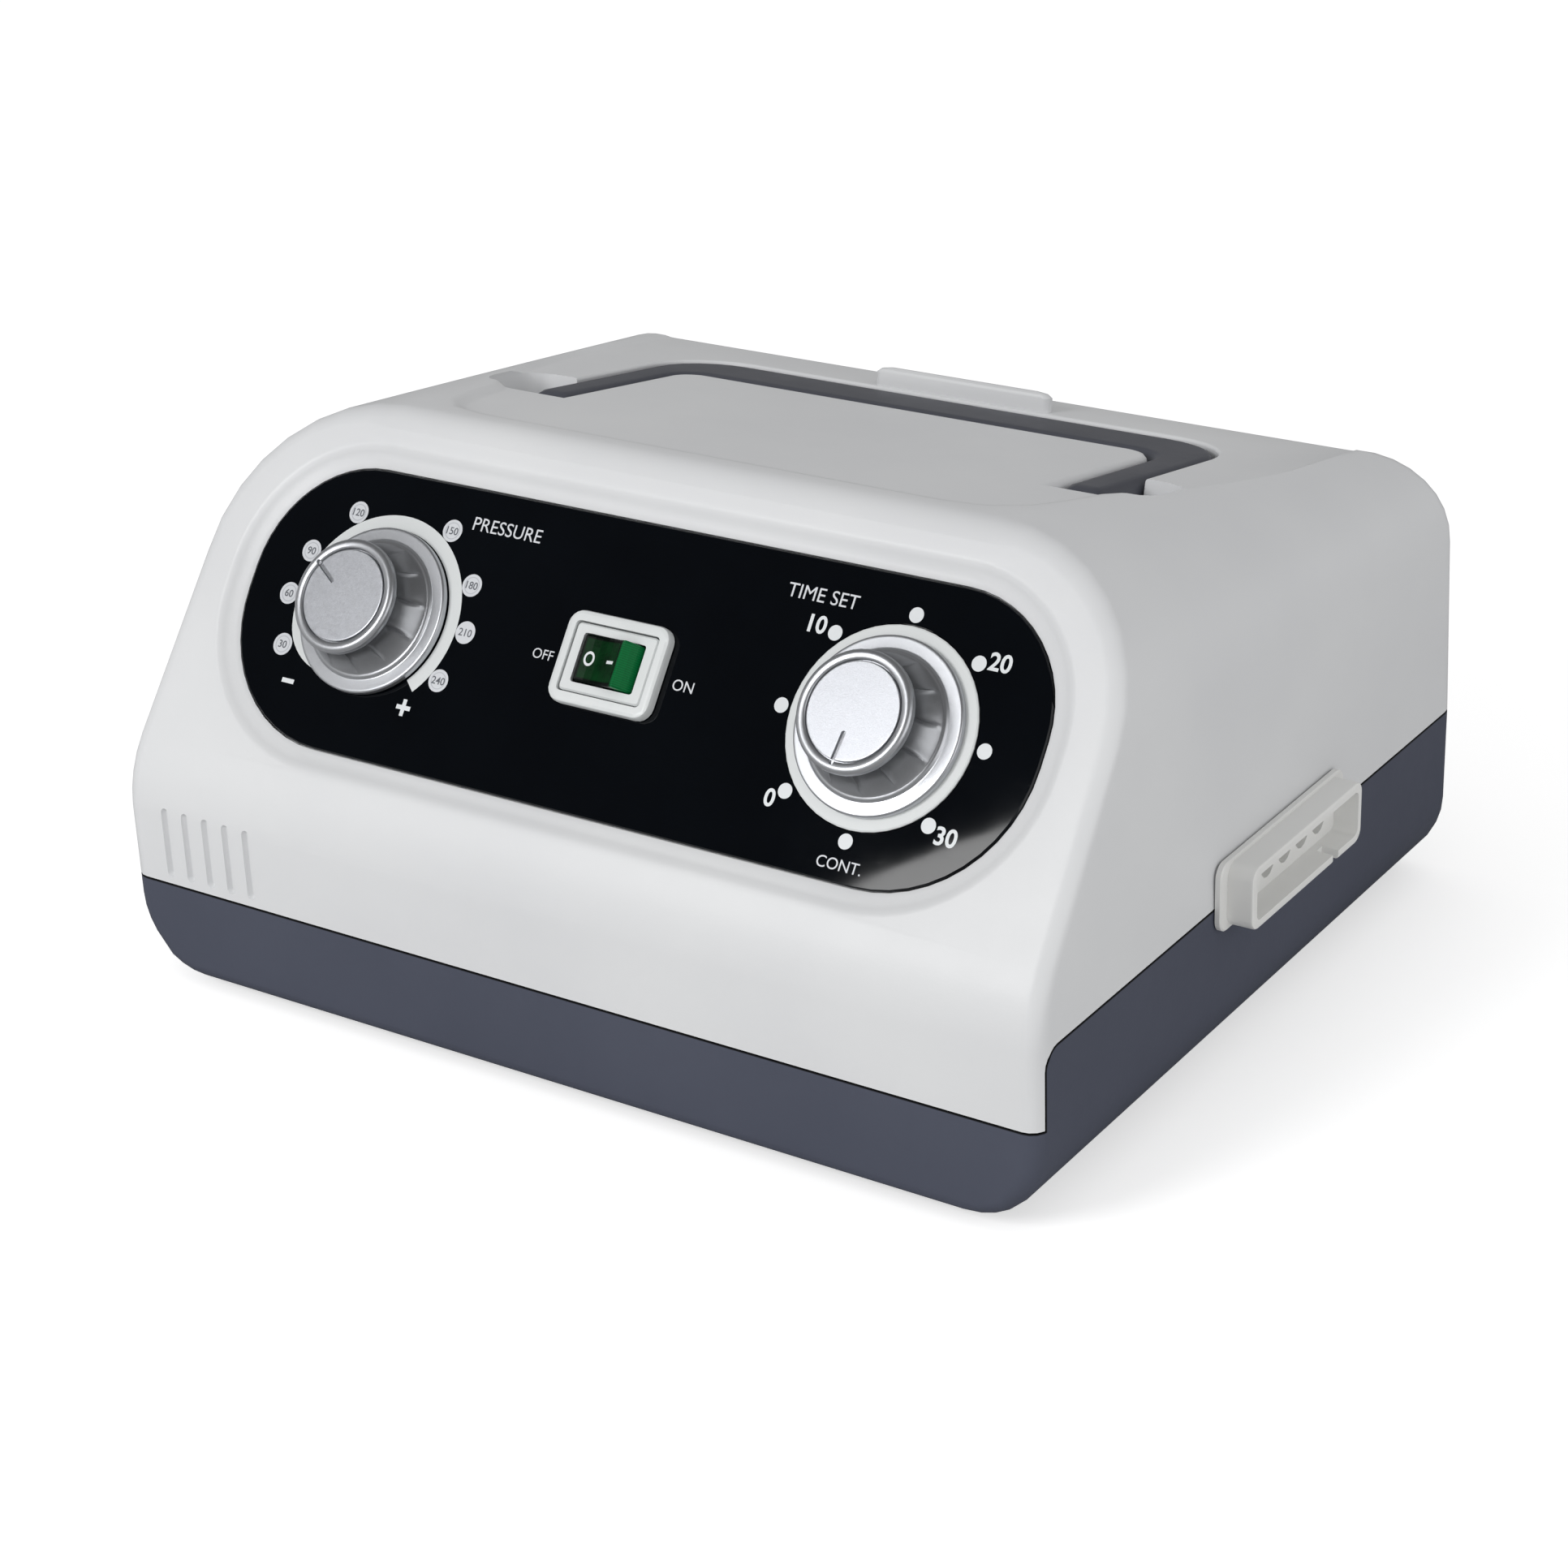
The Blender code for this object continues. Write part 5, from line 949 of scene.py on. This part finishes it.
# Eight dots round the timer, in mm.
timerDots = {"count": 8, "radius": 24.0, "dot": 1.65}
dot = inkForm("timerDot", roundOutline(timerDots["dot"] / 1000))
dots = runTree(trees["ring"], dot, "timerDots", Count=timerDots["count"], Radius=timerDots["radius"] / 1000,
               Start=0.0, Step=2 * math.pi / timerDots["count"], Finish=finishes["inkWhite"])
inkPiece("timer_dots", dots, "inkWhite", onPanel(places["timerAt"]))
print("panel printed")


# Marks on the rocker, laid on its faces, in mm: middle across and along, then their sizes. All are moved
# across by the shift, and the ring is squeezed to an oval.
rockerMarks = {
    "ring": (-4.5, 0.0, 1.62, 1.05), "squeeze": 0.82, "ringSides": 48, "ringSharp": 30,
    "bar": (1.45, 0.0, 2.1, 0.7), "shift": -0.8, "thick": 1.0, "proud": 0.03, "sink": 0.05, "above": 20,
}


def layOnRocker(mesh, place):
    data = nodes["switch_rocker"].data
    spots, faces = [v.co.copy() for v in data.vertices], [tuple(p.vertices) for p in data.polygons]
    tree = BVHTree.FromPolygons(spots, faces)
    proud, sink, above = mm(rockerMarks["proud"], rockerMarks["sink"], rockerMarks["above"])
    middle = sum(v.co.z for v in mesh.vertices) / len(mesh.vertices)
    for vertex in mesh.vertices:
        top = vertex.co.z > middle
        hit = tree.ray_cast(place @ Vector((vertex.co.x, vertex.co.y, above)), -panelOut)[0]
        height = (place.inverted() @ hit).z if hit else 0
        vertex.co.z = height + (proud if top else -sink)
    return mesh


def rockerPrint():
    m = rockerMarks
    shift, thick = mm(m["shift"], m["thick"])
    across, along, outer, inner = mm(*m["ring"])
    ring = ringForm("rockerRing", outer, inner, thick, "inkWhite", m["ringSides"], m["ringSharp"])
    ring.transform(Matrix.Diagonal((m["squeeze"], 1, 1, 1)))
    place = onPanel(across + shift, along)
    addPiece("rocker_ring", layOnRocker(ring, place), "inkWhite", "rocker", place)
    across, along, length, broad = mm(*m["bar"])
    a, b = length / 2, broad / 2
    bar = flatForm("rockerBar", [(-a, -b), (a, -b), (a, b), (-a, b)], 0, thick)
    place = onPanel(across + shift, along)
    addPiece("rocker_bar", layOnRocker(bar, place), "inkWhite", "rocker", place)


rockerPrint()
print("rocker marked")


# The floor glows only for the camera and through clear things, so it shows white and still takes the
# shadow, and it is darker where something shiny mirrors it.
floorLook = {"half": 6.0, "tone": 0.82, "mirrored": 0.3, "glow": 0.52}


def seenRays(tree):
    path = tree.nodes.new("ShaderNodeLightPath")
    return mathNode(tree, "MAXIMUM", path.outputs["Is Camera Ray"], path.outputs["Is Transmission Ray"])


def greyTone(value):
    return (value, value, value, 1)


def studioFloor():
    g, half = floorLook, floorLook["half"]
    mesh = bpy.data.meshes.new("floor")
    corners = [(-half, -half, 0), (half, -half, 0), (half, half, 0), (-half, half, 0)]
    mesh.from_pydata(corners, [], [(0, 1, 2, 3)])
    floor = linked("floor", mesh)
    material = bpy.data.materials.new("floor")
    material.use_nodes = True
    tree = material.node_tree
    tree.nodes.clear()
    mirrored = tree.nodes.new("ShaderNodeLightPath").outputs["Is Glossy Ray"]
    tone = mixColour(tree, mirrored, greyTone(g["tone"]), greyTone(g["mirrored"]))
    matt = add(tree, "ShaderNodeBsdfDiffuse", [("Color", tone)])
    glow = add(tree, "ShaderNodeEmission", [("Strength", times(tree, seenRays(tree), g["glow"]))])
    both = add(tree, "ShaderNodeAddShader", [(0, matt.outputs[0]), (1, glow.outputs[0])])
    out = tree.nodes.new("ShaderNodeOutputMaterial")
    tree.links.new(both.outputs[0], out.inputs["Surface"])
    mesh.materials.append(material)


# Sky strengths: an even fill on the object, white where it is seen, and for what shiny things mirror a
# bright horizon that fades to a dim ceiling between the two heights.
skyLook = {"fill": 0.55, "seen": 1.0, "horizon": 0.55, "ceiling": 0.10, "low": 0.05, "high": 0.45}


def skyShader(tree, strength):
    return add(tree, "ShaderNodeBackground", [("Color", (1, 1, 1, 1)), ("Strength", strength)]).outputs[0]


def studioWorld():
    g = skyLook
    world = bpy.data.worlds.new("studio")
    scene.world = world
    world.use_nodes = True
    tree = world.node_tree
    tree.nodes.clear()
    way = tree.nodes.new("ShaderNodeTexCoord").outputs["Generated"]
    height = add(tree, "ShaderNodeSeparateXYZ", [(0, way)]).outputs["Z"]
    sky = rampNode(tree, height, g["low"], g["high"], g["horizon"], g["ceiling"],
                   interpolation_type="SMOOTHSTEP")
    glossy = tree.nodes.new("ShaderNodeLightPath").outputs["Is Glossy Ray"]
    lit = add(tree, "ShaderNodeMixShader",
              [(0, glossy), (1, skyShader(tree, g["fill"])), (2, skyShader(tree, sky))])
    whole = add(tree, "ShaderNodeMixShader",
                [(0, seenRays(tree)), (1, lit.outputs[0]), (2, skyShader(tree, g["seen"]))])
    out = tree.nodes.new("ShaderNodeOutputWorld")
    tree.links.new(whole.outputs[0], out.inputs["Surface"])


# Round softboxes, both aimed at one point on the object.
softboxes = {
    "keyLight": dict(at=(-0.478, -1.311, 0.868), size=0.69, watts=10.5),
    "sideLight": dict(at=(1.6, -0.35, 0.55), size=1.5, watts=6.4),
}
aim = Vector((0, 0, 0.05))


def softbox(name, at, size, watts):
    light = bpy.data.lights.new(name, "AREA")
    light.shape = "DISK"
    light.size = size
    light.energy = watts
    lamp = linked(name, light)
    lamp.location = at
    lamp.rotation_euler = (aim - Vector(at)).to_track_quat("-Z", "Y").to_euler()


# Camera solved from the photo: place in metres, turns in degrees, focal length in pixels of the photo.
photoCamera = {"at": (0.40305, -0.60258, 0.36624), "yaw": 34.41, "pitch": 24.52, "roll": -2.21,
               "focal": 4250.08, "pixels": 1932, "sensor": 36, "nearest": 0.01}


def takePhoto():
    c = photoCamera
    yaw, pitch = math.radians(c["yaw"]), math.radians(c["pitch"])
    level = Matrix(((math.cos(yaw), math.sin(yaw), 0), (0, 0, -1), (-math.sin(yaw), math.cos(yaw), 0)))
    tip = Matrix.Rotation(pitch, 3, "X")
    view = Matrix.Rotation(math.radians(c["roll"]), 3, "Z") @ tip @ level
    turn = Matrix((view[0], -view[1], -view[2])).transposed()
    data = bpy.data.cameras.new("photo")
    data.sensor_width = c["sensor"]
    data.lens = c["focal"] / c["pixels"] * c["sensor"]
    data.clip_start = c["nearest"]
    camera = linked("photo", data)
    camera.matrix_world = Matrix.Translation(c["at"]) @ turn.to_4x4()
    scene.camera = camera


studioFloor()
studioWorld()
for name, values in softboxes.items():
    softbox(name, **values)
takePhoto()
scene.view_settings.view_transform = "Standard"
print("studio ready")
